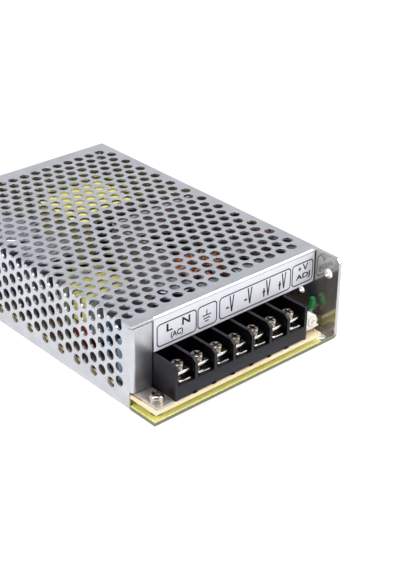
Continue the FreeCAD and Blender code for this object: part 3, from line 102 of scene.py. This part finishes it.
def linear(hex_colour):
    """A screen colour such as C8CAD0 as linear red, green, blue and alpha."""
    channels = []
    for start in (0, 2, 4):
        value = int(hex_colour[start:start + 2], 16) / 255
        channels.append(value / 12.92 if value <= 0.04045 else ((value + 0.055) / 1.055) ** 2.4)
    return (*channels, 1.0)


def add_node(owner, kind, settings=None, links=None):
    """Add a node to a material or the world, fill it in, and join it to other nodes' outputs."""
    tree = owner.node_tree
    node = tree.nodes.new(kind)
    for name, value in (settings or {}).items():
        if isinstance(name, int) or name in node.inputs:
            node.inputs[name].default_value = value
        else:
            setattr(node, name, value)
    for name, source in (links or {}).items():
        tree.links.new(source, node.inputs[name])
    return node


# %% A worked surface


def worked_surface(name, light, dark, grain_mm, stretch=(1, 1, 1), roughness=(0.3, 0.4),
                   relief_mm=0.0, edge_mm=0.0, cloud_mm=14.0, **sockets):
    """A finish with two tones, a grain of a real size, a slow cloudiness and a fine relief."""
    material = bpy.data.materials.new(name)
    material.use_nodes = True
    shader = material.node_tree.nodes["Principled BSDF"]
    for socket, value in sockets.items():
        shader.inputs[socket.replace("_", " ")].default_value = value
    place = add_node(material, "ShaderNodeTexCoord").outputs["Object"]
    drawn = add_node(material, "ShaderNodeMapping", {"Scale": stretch}, {"Vector": place})
    grain = add_node(material, "ShaderNodeTexNoise",
                     {"Scale": 1000 / grain_mm, "Detail": 3.0, "Roughness": 0.6},
                     {"Vector": drawn.outputs["Vector"]})
    cloud = add_node(material, "ShaderNodeTexNoise",
                     {"Scale": 1000 / cloud_mm, "Detail": 2.0, "Roughness": 0.5},
                     {"Vector": place})
    both = add_node(material, "ShaderNodeMath", {"operation": "ADD"},
                    {0: grain.outputs["Fac"], 1: cloud.outputs["Fac"]})
    share = add_node(material, "ShaderNodeMapRange",
                     {"From Min": 0.75, "From Max": 1.25, "To Min": 0.0, "To Max": 1.0},
                     {"Value": both.outputs["Value"]})
    tone = add_node(material, "ShaderNodeMix",
                    {"data_type": "RGBA", 6: linear(dark), 7: linear(light)},
                    {0: share.outputs["Result"]})
    material.node_tree.links.new(tone.outputs[2], shader.inputs["Base Color"])
    gloss = add_node(material, "ShaderNodeMapRange",
                     {"From Min": 0.25, "From Max": 0.75,
                      "To Min": roughness[0], "To Max": roughness[1]},
                     {"Value": grain.outputs["Fac"]})
    material.node_tree.links.new(gloss.outputs["Result"], shader.inputs["Roughness"])
    normal = None
    if edge_mm:
        normal = add_node(material, "ShaderNodeBevel", {"samples": 4, "Radius": edge_mm * MM})
    if relief_mm:
        links = {"Height": grain.outputs["Fac"]}
        if normal:
            links["Normal"] = normal.outputs["Normal"]
        normal = add_node(material, "ShaderNodeBump",
                          {"Strength": 1.0, "Distance": relief_mm * MM}, links)
    if normal:
        material.node_tree.links.new(normal.outputs["Normal"], shader.inputs["Normal"])
    print("finish:", name)
    return material


def coat(node, material):
    """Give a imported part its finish."""
    mesh = nodes[node].data
    mesh.materials.clear()
    mesh.materials.append(material)


# %% [markdown]
# ### Two finishes on one piece
# A piece that is one sheet or one can may still carry two finishes, such as a printed panel or
# a bare top. The piece's own coordinates say where one ends, so no seam has to be modelled.

# %% A second tone on part of a surface


def object_axes(material):
    """The X, Y and Z of a point in the piece's own coordinates."""
    place = add_node(material, "ShaderNodeTexCoord").outputs["Object"]
    return add_node(material, "ShaderNodeSeparateXYZ", None, {"Vector": place}).outputs


def second_tone(material, mask, hex_colour):
    """Give another colour to the part of a surface where the mask is 1."""
    colour = material.node_tree.nodes["Principled BSDF"].inputs["Base Color"]
    tone = add_node(material, "ShaderNodeMix", {"data_type": "RGBA", 7: linear(hex_colour)},
                    {0: mask, 6: colour.links[0].from_socket})
    material.node_tree.links.new(tone.outputs[2], colour)


# %% [markdown]
# ## Sheet metal
# The cover is zinc-plated steel: plating leaves a satin, slightly cloudy grey with a fine grain,
# and the punched holes have small rolled rims that catch the light. The chassis is rolled
# aluminium, much glossier, with faint lines along the rolling direction.

# %% Cover and chassis
zinc_plate = worked_surface("zinc_plated_steel", "DADCE0", "C7C9CE", 0.35,
                            roughness=(0.26, 0.38), relief_mm=0.0015, edge_mm=0.22,
                            cloud_mm=9.0, Metallic=1.0)
rolled_aluminium = worked_surface("rolled_aluminium", "D3D1CD", "C3C1BC", 0.25,
                                  stretch=(1, 0.04, 1), roughness=(0.12, 0.19),
                                  relief_mm=0.0002, edge_mm=0.15, cloud_mm=22.0, Metallic=0.86)
coat("cover", zinc_plate)
coat("chassis", rolled_aluminium)

# %% [markdown]
# ### Painted shade on the base's edges
# The base's upright edge gets a dull, dark olive, which is painted shade, while its faces keep the
# gloss of the mill. At the front and the left that edge is the outermost skin of the sheet, so
# limits in X, Y and Z find it, and no second piece is needed.

# %% Painted shade on the edges
EDGE_SKIN = 0.03 * MM
EDGE_TOP = 1.45 * MM
chassis_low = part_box("chassis")[0]
axes = object_axes(rolled_aluminium)
low = add_node(rolled_aluminium, "ShaderNodeMath", {"operation": "LESS_THAN", 1: EDGE_TOP},
               {0: axes["Z"]})
in_front = add_node(rolled_aluminium, "ShaderNodeMath",
                    {"operation": "LESS_THAN", 1: chassis_low.y + EDGE_SKIN}, {0: axes["Y"]})
at_left = add_node(rolled_aluminium, "ShaderNodeMath",
                   {"operation": "LESS_THAN", 1: chassis_low.x + EDGE_SKIN}, {0: axes["X"]})
either = add_node(rolled_aluminium, "ShaderNodeMath", {"operation": "MAXIMUM"},
                  {0: in_front.outputs["Value"], 1: at_left.outputs["Value"]})
shaded_edge = add_node(rolled_aluminium, "ShaderNodeMath", {"operation": "MULTIPLY"},
                {0: either.outputs["Value"], 1: low.outputs["Value"]})
# The dull olive on the base's front and left edges is painted shade.
second_tone(rolled_aluminium, shaded_edge.outputs["Value"], "84856A")
print("edge skin in mm:", EDGE_SKIN / MM)

# %% [markdown]
# ### Silver panel on the lip
# The marks are printed on a panel of silver-white lacquer, which scatters light and stays bright
# where bare metal would mirror the black block below it. The panel is the lip's whole front, right
# of the slit beside the corner flange, so it is a second finish inside the cover's own material.

# %% Silver panel
LIP_FACE = -66.6 * MM
PANEL_SKIN = 0.05 * MM
PANEL_LEFT = -38.8 * MM
axes = object_axes(zinc_plate)
on_face = add_node(zinc_plate, "ShaderNodeMath",
                   {"operation": "LESS_THAN", 1: LIP_FACE + PANEL_SKIN}, {0: axes["Y"]})
past_slit = add_node(zinc_plate, "ShaderNodeMath",
                     {"operation": "GREATER_THAN", 1: PANEL_LEFT}, {0: axes["X"]})
on_panel = add_node(zinc_plate, "ShaderNodeMath", {"operation": "MULTIPLY"},
                    {0: on_face.outputs["Value"], 1: past_slit.outputs["Value"]}).outputs["Value"]
second_tone(zinc_plate, on_panel, "E9E9F0")
shader = zinc_plate.node_tree.nodes["Principled BSDF"]
metal_gloss = shader.inputs["Roughness"].links[0].from_socket
panel_gloss = add_node(zinc_plate, "ShaderNodeMix", {3: 0.5}, {0: on_panel, 2: metal_gloss})
metal_share = add_node(zinc_plate, "ShaderNodeMapRange", {"To Min": 1.0, "To Max": 0.1},
                       {"Value": on_panel})
zinc_plate.node_tree.links.new(panel_gloss.outputs[0], shader.inputs["Roughness"])
zinc_plate.node_tree.links.new(metal_share.outputs["Result"], shader.inputs["Metallic"])
print("panel from x in mm:", PANEL_LEFT / MM)

# %% [markdown]
# ## Board and film
# The board is a paper laminate: its sawn edge is pale and fibrous. Its upper face turns a dark
# brown, painted shade for the inside of the case, which stops short of the rim and of the trimmer
# in front, where the face keeps the laminate's pale tone. The place on the board tells the two
# apart, so the material mixes them by the object's own coordinates.
# The insulating film below it is a bright, slightly see-through yellow-green.

# %% Board laminate
laminate = worked_surface("paper_laminate", "F5E6C6", "E8D2A8", 0.5, stretch=(1, 1, 6),
                          roughness=(0.45, 0.6), relief_mm=0.004)
board_low, board_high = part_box("circuit_board")
axes = object_axes(laminate)
# Each limit is an axis, where the painted shade starts on it, and how far it takes to cover fully
limits = (("Z", board_high.z - 0.25 * MM, 0.15 * MM), ("X", board_low.x + 0.4 * MM, 0.4 * MM),
          ("Y", board_low.y + 9.0 * MM, 0.4 * MM))
masks = [add_node(laminate, "ShaderNodeMapRange", {"From Min": start, "From Max": start + run},
                  {"Value": axes[axis]}).outputs["Result"] for axis, start, run in limits]
shaded_inside = masks[0]
for mask in masks[1:]:
    shaded_inside = add_node(laminate, "ShaderNodeMath", {"operation": "MULTIPLY"},
                         {0: shaded_inside, 1: mask}).outputs["Value"]
# The dark brown is painted shade over the board's face inside the case.
second_tone(laminate, shaded_inside, "5F4B36")
coat("circuit_board", laminate)

# %% Insulating film
film = worked_surface("polyester_film", "FBFBA8", "EFF080", 1.2, roughness=(0.25, 0.35),
                      cloud_mm=30.0)
coat("insulating_film", film)

# %% [markdown]
# ## Small metal parts
# The small fixings are bright nickel. The terminal screws have a darker copy of that nickel,
# painted shade for the dark studio they mirror, so they show black between their highlights. The
# terminal plates and the earth tab are tinned, and the trimmer stands on bare copper pins.

# %% Nickel and tin
nickel = worked_surface("bright_nickel", "D5CDC2", "B4AA9D", 0.15, roughness=(0.10, 0.2),
                        relief_mm=0.0006, Metallic=1.0)
tin = worked_surface("bright_tin", "EDEBE6", "D2CFC8", 0.2, stretch=(0.2, 1, 1),
                     roughness=(0.16, 0.28), relief_mm=0.001, Metallic=1.0)
brushed_tab = worked_surface("brushed_tinned_steel", "D3CCC6", "B4ADA7", 0.2,
                             stretch=(0.08, 1, 1), roughness=(0.28, 0.42),
                             relief_mm=0.0012, Metallic=0.7)
# The terminal screws' darker nickel is painted shade for the dark studio the heads would mirror.
shaded_screw_nickel = worked_surface("shaded_nickel", "A39A8F", "736B61", 0.15, roughness=(0.10, 0.16),
                              relief_mm=0.0006, Metallic=1.0)
pin_copper = worked_surface("bare_copper_pin", "D79A6C", "B5764A", 0.2, roughness=(0.2, 0.3),
                            Metallic=1.0)
for name in ("board_standoffs", "board_screws", "cover_screws", "fuse_caps"):
    coat(name, nickel)
for name in ("indicator_leads", "fuse_clips"):
    coat(name, tin)
coat("trimmer_pins", pin_copper)

# %% [markdown]
# ## Moulded plastics
# The terminal block is a glass-filled polyester: nearly black with a plum cast, a fine spark
# texture on its outside, and a soft shine on its rounded edges. The ways get a deeper black, which
# is painted shade in the recesses. The trimmer is a warm white nylon, and the lamp a tinted clear
# epoxy.

# %% Plastics
black_polyester = worked_surface("black_moulded_polyester", "1D1B26", "131119", 0.3,
                                 roughness=(0.34, 0.48), relief_mm=0.003, cloud_mm=12.0,
                                 Specular_IOR_Level=0.3)
# The deeper black is painted shade for the recesses of the ways.
shaded_polyester = worked_surface("shaded_black_polyester", "08070A", "040305", 0.5,
                                roughness=(0.3, 0.4), cloud_mm=12.0, Specular_IOR_Level=0.1)
cream_nylon = worked_surface("cream_nylon", "F0EDE6", "E3DED3", 0.4, roughness=(0.35, 0.45),
                             relief_mm=0.002)
green_epoxy = worked_surface("tinted_green_epoxy", "2CB866", "1C964C", 0.8,
                             roughness=(0.05, 0.1), Transmission_Weight=0.4, IOR=1.5)

# %% [markdown]
# ## Parts seen through the holes
# The cover hides most of them, but their colours make the pattern that shows through the holes:
# yellow polyester tape on the transformers, dark ferrite, bare copper wire on the choke, shiny
# capacitor sleeves with bare tops, a pale blue film capacitor and a red-brown bobbin.

# %% Tape, ferrite and copper
yellow_tape = worked_surface("yellow_polyester_tape", "F7F09C", "ECE176", 3.0,
                             stretch=(0.3, 0.3, 2), roughness=(0.18, 0.3), relief_mm=0.02)
black_ferrite = worked_surface("sintered_ferrite", "1B1B1E", "101012", 0.4,
                               roughness=(0.45, 0.6), relief_mm=0.004)
grey_ferrite = worked_surface("ground_ferrite", "8E9092", "6F7173", 0.4,
                              roughness=(0.3, 0.45), relief_mm=0.003)
enamelled_copper = worked_surface("enamelled_copper_wire", "F29A5C", "D9702F", 0.6,
                                  roughness=(0.18, 0.3), Metallic=0.35, Coat_Weight=0.5)
red_nylon = worked_surface("red_brown_nylon", "A5241B", "7C1610", 0.5, roughness=(0.4, 0.5),
                           relief_mm=0.002)
for name in ("transformer_winding", "line_filter_coil", "driver_transformer_coil"):
    coat(name, yellow_tape)
for name in ("transformer_core", "output_choke_core", "driver_transformer_core"):
    coat(name, black_ferrite)
coat("line_filter_core", grey_ferrite)
coat("output_choke_winding", enamelled_copper)
for name in ("line_filter_bobbin", "driver_transformer_bobbin"):
    coat(name, red_nylon)

# %% Capacitors and other board parts
film_case = worked_surface("pale_blue_epoxy_case", "9DB1C4", "8198AE", 0.5,
                           roughness=(0.25, 0.35), relief_mm=0.002)
blue_dip = worked_surface("dipped_blue_epoxy", "1F4A70", "133350", 0.7, roughness=(0.15, 0.3),
                          relief_mm=0.01)
green_dip = worked_surface("dipped_green_epoxy", "33563F", "22402D", 0.7,
                           roughness=(0.25, 0.4), relief_mm=0.01)
device_epoxy = worked_surface("black_device_epoxy", "2A2A2D", "1B1B1E", 0.25,
                              roughness=(0.5, 0.62), relief_mm=0.003)
fuse_glass = worked_surface("fuse_glass", "F4F8FA", "E6EEF2", 4.0, roughness=(0.02, 0.05),
                            Transmission_Weight=0.95)
beige_lacquer = worked_surface("beige_resistor_lacquer", "C9A97C", "B08E60", 0.4,
                               roughness=(0.3, 0.42), relief_mm=0.003)
coat("mains_capacitor", film_case)
coat("safety_capacitors", blue_dip)
coat("surge_varistor", blue_dip)
coat("inrush_thermistor", green_dip)
for name in ("power_transistors", "output_rectifiers", "bridge_rectifier", "controller_chip"):
    coat(name, device_epoxy)
coat("fuse_glass", fuse_glass)
coat("resistors", beige_lacquer)
sink_aluminium = worked_surface("sawn_aluminium_plate", "DAD0CB", "C3B8B3", 0.3,
                                stretch=(0.1, 0.1, 1), roughness=(0.4, 0.55),
                                relief_mm=0.002, Metallic=0.4)
coat("heatsink", sink_aluminium)

# %% [markdown]
# ### Capacitor sleeves
# An electrolytic capacitor is an aluminium can in a shrunk plastic sleeve, which leaves the top
# bare. One material per size is enough: above the sleeve's rim it turns to bare metal.

# %% Capacitor sleeves


def sleeved_can(name, sleeve_light, sleeve_dark, top_z_mm):
    """A dark shrink sleeve up to just below the bare aluminium top of the can."""
    material = worked_surface(name, sleeve_light, sleeve_dark, 0.8, roughness=(0.2, 0.3))
    bare = add_node(material, "ShaderNodeMath", {"operation": "GREATER_THAN", 1: top_z_mm * MM},
                    {0: object_axes(material)["Z"]}).outputs["Value"]
    second_tone(material, bare, "C9CCD2")
    shader = material.node_tree.nodes["Principled BSDF"]
    material.node_tree.links.new(bare, shader.inputs["Metallic"])
    return material


for name, light, dark in (("bulk_capacitors", "3A4A6B", "26334E"),
                          ("filter_capacitor", "27324C", "1A2338"),
                          ("output_capacitors", "1C3A68", "12274A"),
                          ("small_capacitors", "33363F", "23252C")):
    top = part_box(name)[1].z / MM
    coat(name, sleeved_can(name.replace("_", "-") + "_sleeve", light, dark, top - 0.25))

# %% [markdown]
# ## Finer copies of the parts in front
# The terminal block, its screws and clamps, the trimmer and the earth screw are seen close, and
# real mouldings and pressings have small rounded edges that catch the light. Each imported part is
# loose triangles, so a copy is merged, its flat faces are made whole again, and a bevel rounds
# its edges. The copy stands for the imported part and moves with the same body.

# %% Rounded copies


def rounded_copy(node, body, finish, edge_mm, steps=2):
    """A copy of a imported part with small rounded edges, which stands for that part."""
    bm = bmesh.new()
    bm.from_mesh(nodes[node].data)
    bmesh.ops.remove_doubles(bm, verts=bm.verts, dist=2e-6)
    bmesh.ops.dissolve_limit(bm, angle_limit=math.radians(0.5), verts=bm.verts, edges=bm.edges)
    for face in bm.faces:
        face.smooth = True
    mesh = bpy.data.meshes.new(node + "_fine")
    bm.to_mesh(mesh)
    bm.free()
    mesh.materials.append(finish)
    piece = bpy.data.objects.new(node + "_fine", mesh)
    bpy.context.scene.collection.objects.link(piece)
    rounding = piece.modifiers.new("rounding", "BEVEL")
    rounding.limit_method = "ANGLE"
    rounding.angle_limit = math.radians(40)
    rounding.width = edge_mm * MM
    rounding.segments = steps
    rounding.harden_normals = True
    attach(piece, body)
    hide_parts(node)
    return piece


block_copy = rounded_copy("terminal_block", "supply", black_polyester, 0.22)
rounded_copy("terminal_plates", "supply", tin, 0.08)
for way in range(1, 8):
    rounded_copy(f"terminal_clamp_{way}", f"clamp_{way}", tin, 0.12)
    rounded_copy(f"terminal_screw_{way}", f"screw_{way}", shaded_screw_nickel, 0.1)
rounded_copy("earth_tab", "supply", brushed_tab, 0.1)
rounded_copy("earth_lock_washer", "supply", nickel, 0.08)
rounded_copy("earth_screw", "supply", nickel, 0.12)
rounded_copy("trimmer_body", "supply", cream_nylon, 0.3, 3)
rounded_copy("trimmer_rotor", "trimmer_rotor", cream_nylon, 0.08)
rounded_copy("indicator_lens", "supply", green_epoxy, 0.1)

# %% [markdown]
# ### Painted shade inside the ways
# The ways get a deeper black, painted shade in the recesses. They are the faces whose middle lies
# inside the block's outline, without the slanted edges of the barriers, so the block's copy gets a
# second material and those faces take it.

# %% Faces inside the ways
# The faces inside the ways take the painted shade.
block_copy.data.materials.append(shaded_polyester)
block_low, block_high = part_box("terminal_block")
inset = Vector((0.3, 0.3, 0.3)) * MM
inner_faces = 0
for face in block_copy.data.polygons:
    above = face.center - block_low - inset
    below = block_high - inset - face.center
    slanted = abs(face.normal.y) > 0.2 and abs(face.normal.z) > 0.2
    if min(*above, *below) > 0 and not slanted:
        face.material_index = 1
        inner_faces += 1
print("inner faces of the block:", inner_faces)

# %% [markdown]
# ## Locating feet
# Under each barrier the moulding has a small foot that stands proud in front and keeps the block
# square to the board. A bevelled bar for each is enough at this size. All of them are one piece,
# because they belong to one moulding.

# %% Feet of the block
WAY_PITCH = 9.8 * MM
FOOT = Vector((1.7, 0.7, 0.7)) * MM
FOOT_SHIFT = 0.1 * MM
feet = bmesh.new()
for barrier in range(1, 7):
    bar = bmesh.ops.create_cube(feet, size=1.0)["verts"]
    bmesh.ops.scale(feet, vec=FOOT, verts=bar)
    along = block_low.x + barrier * WAY_PITCH + FOOT_SHIFT
    middle = Vector((along, block_low.y, board_high.z + FOOT.z / 2))
    bmesh.ops.translate(feet, vec=middle, verts=bar)
bmesh.ops.bevel(feet, geom=feet.edges[:], offset=0.12 * MM, offset_type="OFFSET", segments=2,
                profile=0.5, affect="EDGES", material=-1)
mesh = bpy.data.meshes.new("block_feet")
feet.to_mesh(mesh)
feet.free()
# The feet take the same deeper black, painted shade under the block's front.
mesh.materials.append(shaded_polyester)
block_feet = bpy.data.objects.new("block_feet", mesh)
bpy.context.scene.collection.objects.link(block_feet)
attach(block_feet, "supply")
print("feet:", len(mesh.polygons), "faces")

# %% [markdown]
# ## Terminal marks
# The lip carries plain printed marks over the terminals: a frame round each group, letters for
# line, neutral and the outputs, and the earth sign. Printed ink is a very thin flat layer, so
# every stroke is a flat bar a few hundredths of a millimetre proud of the sheet.

# %% Ink and straight strokes
ink = worked_surface("black_screen_ink", "101013", "070709", 0.4, roughness=(0.45, 0.6))
INK_DEPTH = 0.04 * MM
marks = bmesh.new()


def stroke(x0, z0, x1, z1, width):
    """A flat inked bar between two points of the lip, all in millimetres."""
    start = Vector((x0, 0, z0)) * MM
    run = Vector((x1 - x0, 0, z1 - z0)) * MM
    made = bmesh.ops.create_cube(marks, size=1.0)["verts"]
    bmesh.ops.scale(marks, vec=(run.length, INK_DEPTH, width * MM), verts=made)
    angle = math.atan2(run.z, run.x)
    bmesh.ops.rotate(marks, matrix=Matrix.Rotation(-angle, 3, "Y"), verts=made)
    middle = start + run / 2
    bmesh.ops.translate(marks, vec=(middle.x, LIP_FACE - INK_DEPTH / 2, middle.z), verts=made)


# %% [markdown]
# ### Frame lines
# A frame line has round corners, so it is four bars and four quarter rings. Each ring starts as
# one small upright face and is spun by a quarter turn round the corner's middle.

# %% Frame lines


def corner(cx, cz, radius, first, width):
    """A quarter ring of inked line, from an angle in degrees."""
    ring = []
    for reach in (radius - width / 2, radius + width / 2):
        for depth in (0, INK_DEPTH):
            ring.append(marks.verts.new(((cx + reach) * MM, LIP_FACE - depth, cz * MM)))
    face = marks.faces.new((ring[0], ring[1], ring[3], ring[2]))
    centre = (cx * MM, LIP_FACE, cz * MM)
    turn = Matrix.Rotation(math.radians(-first), 3, "Y")
    bmesh.ops.rotate(marks, cent=centre, matrix=turn, verts=ring)
    bmesh.ops.spin(marks, geom=[face, *face.edges, *face.verts], cent=centre, axis=(0, -1, 0),
                   angle=math.radians(90), steps=6, use_merge=False)


def ink_frame(x0, x1, z0, z1, radius=1.6, width=0.5):
    """A rounded frame line."""
    stroke(x0 + radius, z0, x1 - radius, z0, width)
    stroke(x0 + radius, z1, x1 - radius, z1, width)
    stroke(x0, z0 + radius, x0, z1 - radius, width)
    stroke(x1, z0 + radius, x1, z1 - radius, width)
    corner(x1 - radius, z1 - radius, radius, 0, width)
    corner(x0 + radius, z1 - radius, radius, 90, width)
    corner(x0 + radius, z0 + radius, radius, 180, width)
    corner(x1 - radius, z0 + radius, radius, 270, width)


# %% [markdown]
# ### Letters
# Round letters start as text and become a mesh. Each word is stretched into its box on the lip,
# so its size doesn't hang on the font's own measures. The tall V has straight legs and is drawn.

# %% Letters


def letters(text, x0, x1, z0, z1):
    """Text that fills a box on the lip, a little bolder than the font draws it."""
    curve = bpy.data.curves.new("letters", "FONT")
    curve.body = text
    curve.resolution_u = 4
    curve.offset = 0.028
    writing = bpy.data.objects.new("letters", curve)
    bpy.context.scene.collection.objects.link(writing)
    bpy.context.view_layer.update()
    shape = writing.evaluated_get(bpy.context.evaluated_depsgraph_get())
    flat = bpy.data.meshes.new_from_object(shape)
    bpy.data.objects.remove(writing)
    before = set(marks.verts)
    marks.from_mesh(flat)
    made = [vert for vert in marks.verts if vert not in before]
    low = [min(vert.co[axis] for vert in made) for axis in (0, 1)]
    high = [max(vert.co[axis] for vert in made) for axis in (0, 1)]
    for vert in made:
        across = (vert.co.x - low[0]) / (high[0] - low[0])
        up = (vert.co.y - low[1]) / (high[1] - low[1])
        vert.co = Vector(((x0 + across * (x1 - x0)) * MM, LIP_FACE - INK_DEPTH,
                          (z0 + up * (z1 - z0)) * MM))
    bpy.data.meshes.remove(flat)


def tall_v(x0, x1, z0, z1):
    """The letter V from two slanted strokes."""
    tip = (x0 + x1) / 2
    stroke(x0, z1, tip, z0, 0.6)
    stroke(x1, z1, tip, z0, 0.6)


# %% Draw the marks
EARTH_X = -12.03
for x0, x1 in ((-37.1, -17.5), (-16.6, -6.9), (-5.3, 33.7), (34.8, 46.6)):
    ink_frame(x0, x1, 23.4, 32.9)
letters("L", -32.5, -29.5, 28.5, 31.9)
letters("N", -24.7, -20.6, 28.5, 31.9)
letters("(AC)", -30.4, -24.2, 24.4, 27.7)
stroke(EARTH_X, 28.4, EARTH_X, 30.7, 0.5)
for half, z in ((2.25, 28.3), (1.75, 26.95), (1.05, 25.7)):
    stroke(EARTH_X - half, z, EARTH_X + half, z, 0.5)
for v_left, sign in ((0.1, "minus"), (9.9, "minus"), (20.0, "plus"), (28.9, "plus")):
    tall_v(v_left, v_left + 2.0, 24.9, 32.1)
    stroke(v_left - 2.0, 27.3, v_left - 0.5, 27.3, 0.8)
    if sign == "plus":
        stroke(v_left - 1.25, 25.0, v_left - 1.25, 28.9, 0.7)
tall_v(41.0, 43.6, 29.3, 32.2)
stroke(38.2, 30.4, 39.9, 30.4, 0.5)
stroke(39.05, 29.5, 39.05, 31.3, 0.5)
letters("ADJ", 36.9, 45.2, 24.9, 28.0)

# %% [markdown]
# ### One mesh of ink
# Where a bar and a quarter ring meet, their end faces lie inside the line. The doubles are
# merged and those faces are taken out, so each frame line is one closed ring.

# %% One mesh of ink
bmesh.ops.remove_doubles(marks, verts=marks.verts[:], dist=1e-7)
walls = [face for face in marks.faces if all(len(edge.link_faces) > 2 for edge in face.edges)]
bmesh.ops.delete(marks, geom=walls, context="FACES_ONLY")
mesh = bpy.data.meshes.new("terminal_marks")
marks.to_mesh(mesh)
marks.free()
mesh.materials.append(ink)
terminal_marks = bpy.data.objects.new("terminal_marks", mesh)
bpy.context.scene.collection.objects.link(terminal_marks)
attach(terminal_marks, "supply")
print("terminal marks:", len(mesh.polygons), "faces")

# %% [markdown]
# ## Floor and light
# The photograph is a studio picture on white. The floor is white and keeps a soft shadow. Part
# of its white is a glow that only the view, mirrors and clear plastics see, and that lights
# nothing else.

# %% Floor
FLOOR_GLOW = 0.65
GLOW_STRENGTH = 1.06
floor_mesh = bpy.data.meshes.new("floor")
bm = bmesh.new()
bmesh.ops.create_grid(bm, x_segments=1, y_segments=1, size=4.0)
bm.to_mesh(floor_mesh)
bm.free()
floor = bpy.data.objects.new("floor", floor_mesh)
bpy.context.scene.collection.objects.link(floor)
floor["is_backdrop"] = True
floor_paint = bpy.data.materials.new("white_floor")
floor_paint.use_nodes = True
paint = floor_paint.node_tree.nodes["Principled BSDF"]
paint.inputs["Base Color"].default_value = (0.94, 0.94, 0.94, 1)
paint.inputs["Roughness"].default_value = 0.9
paint.inputs["Specular IOR Level"].default_value = 0.1
looked_at = add_node(floor_paint, "ShaderNodeLightPath")
seen_or_mirrored = add_node(floor_paint, "ShaderNodeMath", {"operation": "MAXIMUM"},
                            {0: looked_at.outputs["Is Camera Ray"],
                             1: looked_at.outputs["Is Glossy Ray"]})
any_look = add_node(floor_paint, "ShaderNodeMath", {"operation": "MAXIMUM"},
                    {0: seen_or_mirrored.outputs["Value"],
                     1: looked_at.outputs["Is Transmission Ray"]})
glow = add_node(floor_paint, "ShaderNodeMath", {"operation": "MULTIPLY", 1: FLOOR_GLOW},
                {0: any_look.outputs["Value"]})
white_light = add_node(floor_paint, "ShaderNodeEmission", {"Strength": GLOW_STRENGTH})
both = add_node(floor_paint, "ShaderNodeMixShader", None,
                {0: glow.outputs["Value"], 1: paint.outputs["BSDF"], 2: white_light.outputs["Emission"]})
surface = floor_paint.node_tree.nodes["Material Output"].inputs["Surface"]
floor_paint.node_tree.links.new(both.outputs["Shader"], surface)
floor_mesh.materials.append(floor_paint)
print("floor glow:", FLOOR_GLOW)

# %% [markdown]
# ### World
# The room grows darker towards the ceiling, because the top sheet mirrors it and reads greyer
# than the sides. It also has a dark patch in front, as a real studio has round the camera.

# %% World
world = bpy.data.worlds.new("studio")
bpy.context.scene.world = world
world.use_nodes = True
way = add_node(world, "ShaderNodeTexCoord").outputs["Generated"]
rise = add_node(world, "ShaderNodeSeparateXYZ", None, {"Vector": way}).outputs["Z"]
ramp = add_node(world, "ShaderNodeValToRGB", None, {"Fac": rise})
horizon, zenith = ramp.color_ramp.elements
horizon.color = (1.0, 1.0, 1.02, 1)
zenith.position = 0.8
zenith.color = (0.48, 0.49, 0.52, 1)
near_front = add_node(world, "ShaderNodeVectorMath", {"operation": "DOT_PRODUCT", 1: BACK_WAY},
                      {0: way})
dark_patch = add_node(world, "ShaderNodeMapRange", {"From Min": 0.82, "From Max": 0.96},
                      {"Value": near_front.outputs["Value"]})
room = add_node(world, "ShaderNodeMix", {"data_type": "RGBA", 7: (0.08, 0.08, 0.09, 1)},
                {0: dark_patch.outputs["Result"], 6: ramp.outputs["Color"]})
seen = add_node(world, "ShaderNodeLightPath").outputs["Is Camera Ray"]
shown = add_node(world, "ShaderNodeMix", {"data_type": "RGBA", 7: (1, 1, 1, 1)},
                 {0: seen, 6: room.outputs[2]})
background = world.node_tree.nodes["Background"]
world.node_tree.links.new(shown.outputs[2], background.inputs["Color"])
background.inputs["Strength"].default_value = 1.0
print("world nodes:", len(world.node_tree.nodes))

# %% [markdown]
# ### Lamps
# Three broad, weak softboxes give the bends their highlights. They are large and near, because a
# small lamp would leave hard spots on the plated sheet.

# %% Lamps
CASE_MIDDLE = Vector((0, 0, 20)) * MM


def softbox(name, place, size, watts):
    """A square studio lamp that points at the middle of the case."""
    lamp = bpy.data.lights.new(name, "AREA")
    lamp.size = size
    lamp.energy = watts
    box = bpy.data.objects.new(name, lamp)
    bpy.context.scene.collection.objects.link(box)
    box.location = place
    box.rotation_euler = (CASE_MIDDLE - Vector(place)).to_track_quat("-Z", "Y").to_euler()
    return box


softbox("front_box", (0.55, -0.55, 0.75), 0.5, 5.0)
softbox("left_box", (-0.8, 0.25, 0.7), 0.5, 3.0)
softbox("top_box", (-0.1, 0.05, 1.2), 0.6, 9.0)
print("lamps:", len(bpy.data.lights))

# %% [markdown]
# ## Size
# The box round every shown piece, without the floor, is printed in millimetres.

# %% Size
low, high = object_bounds()
print("visual box:", [round(1000 * v, 1) for v in (*low, *high)])
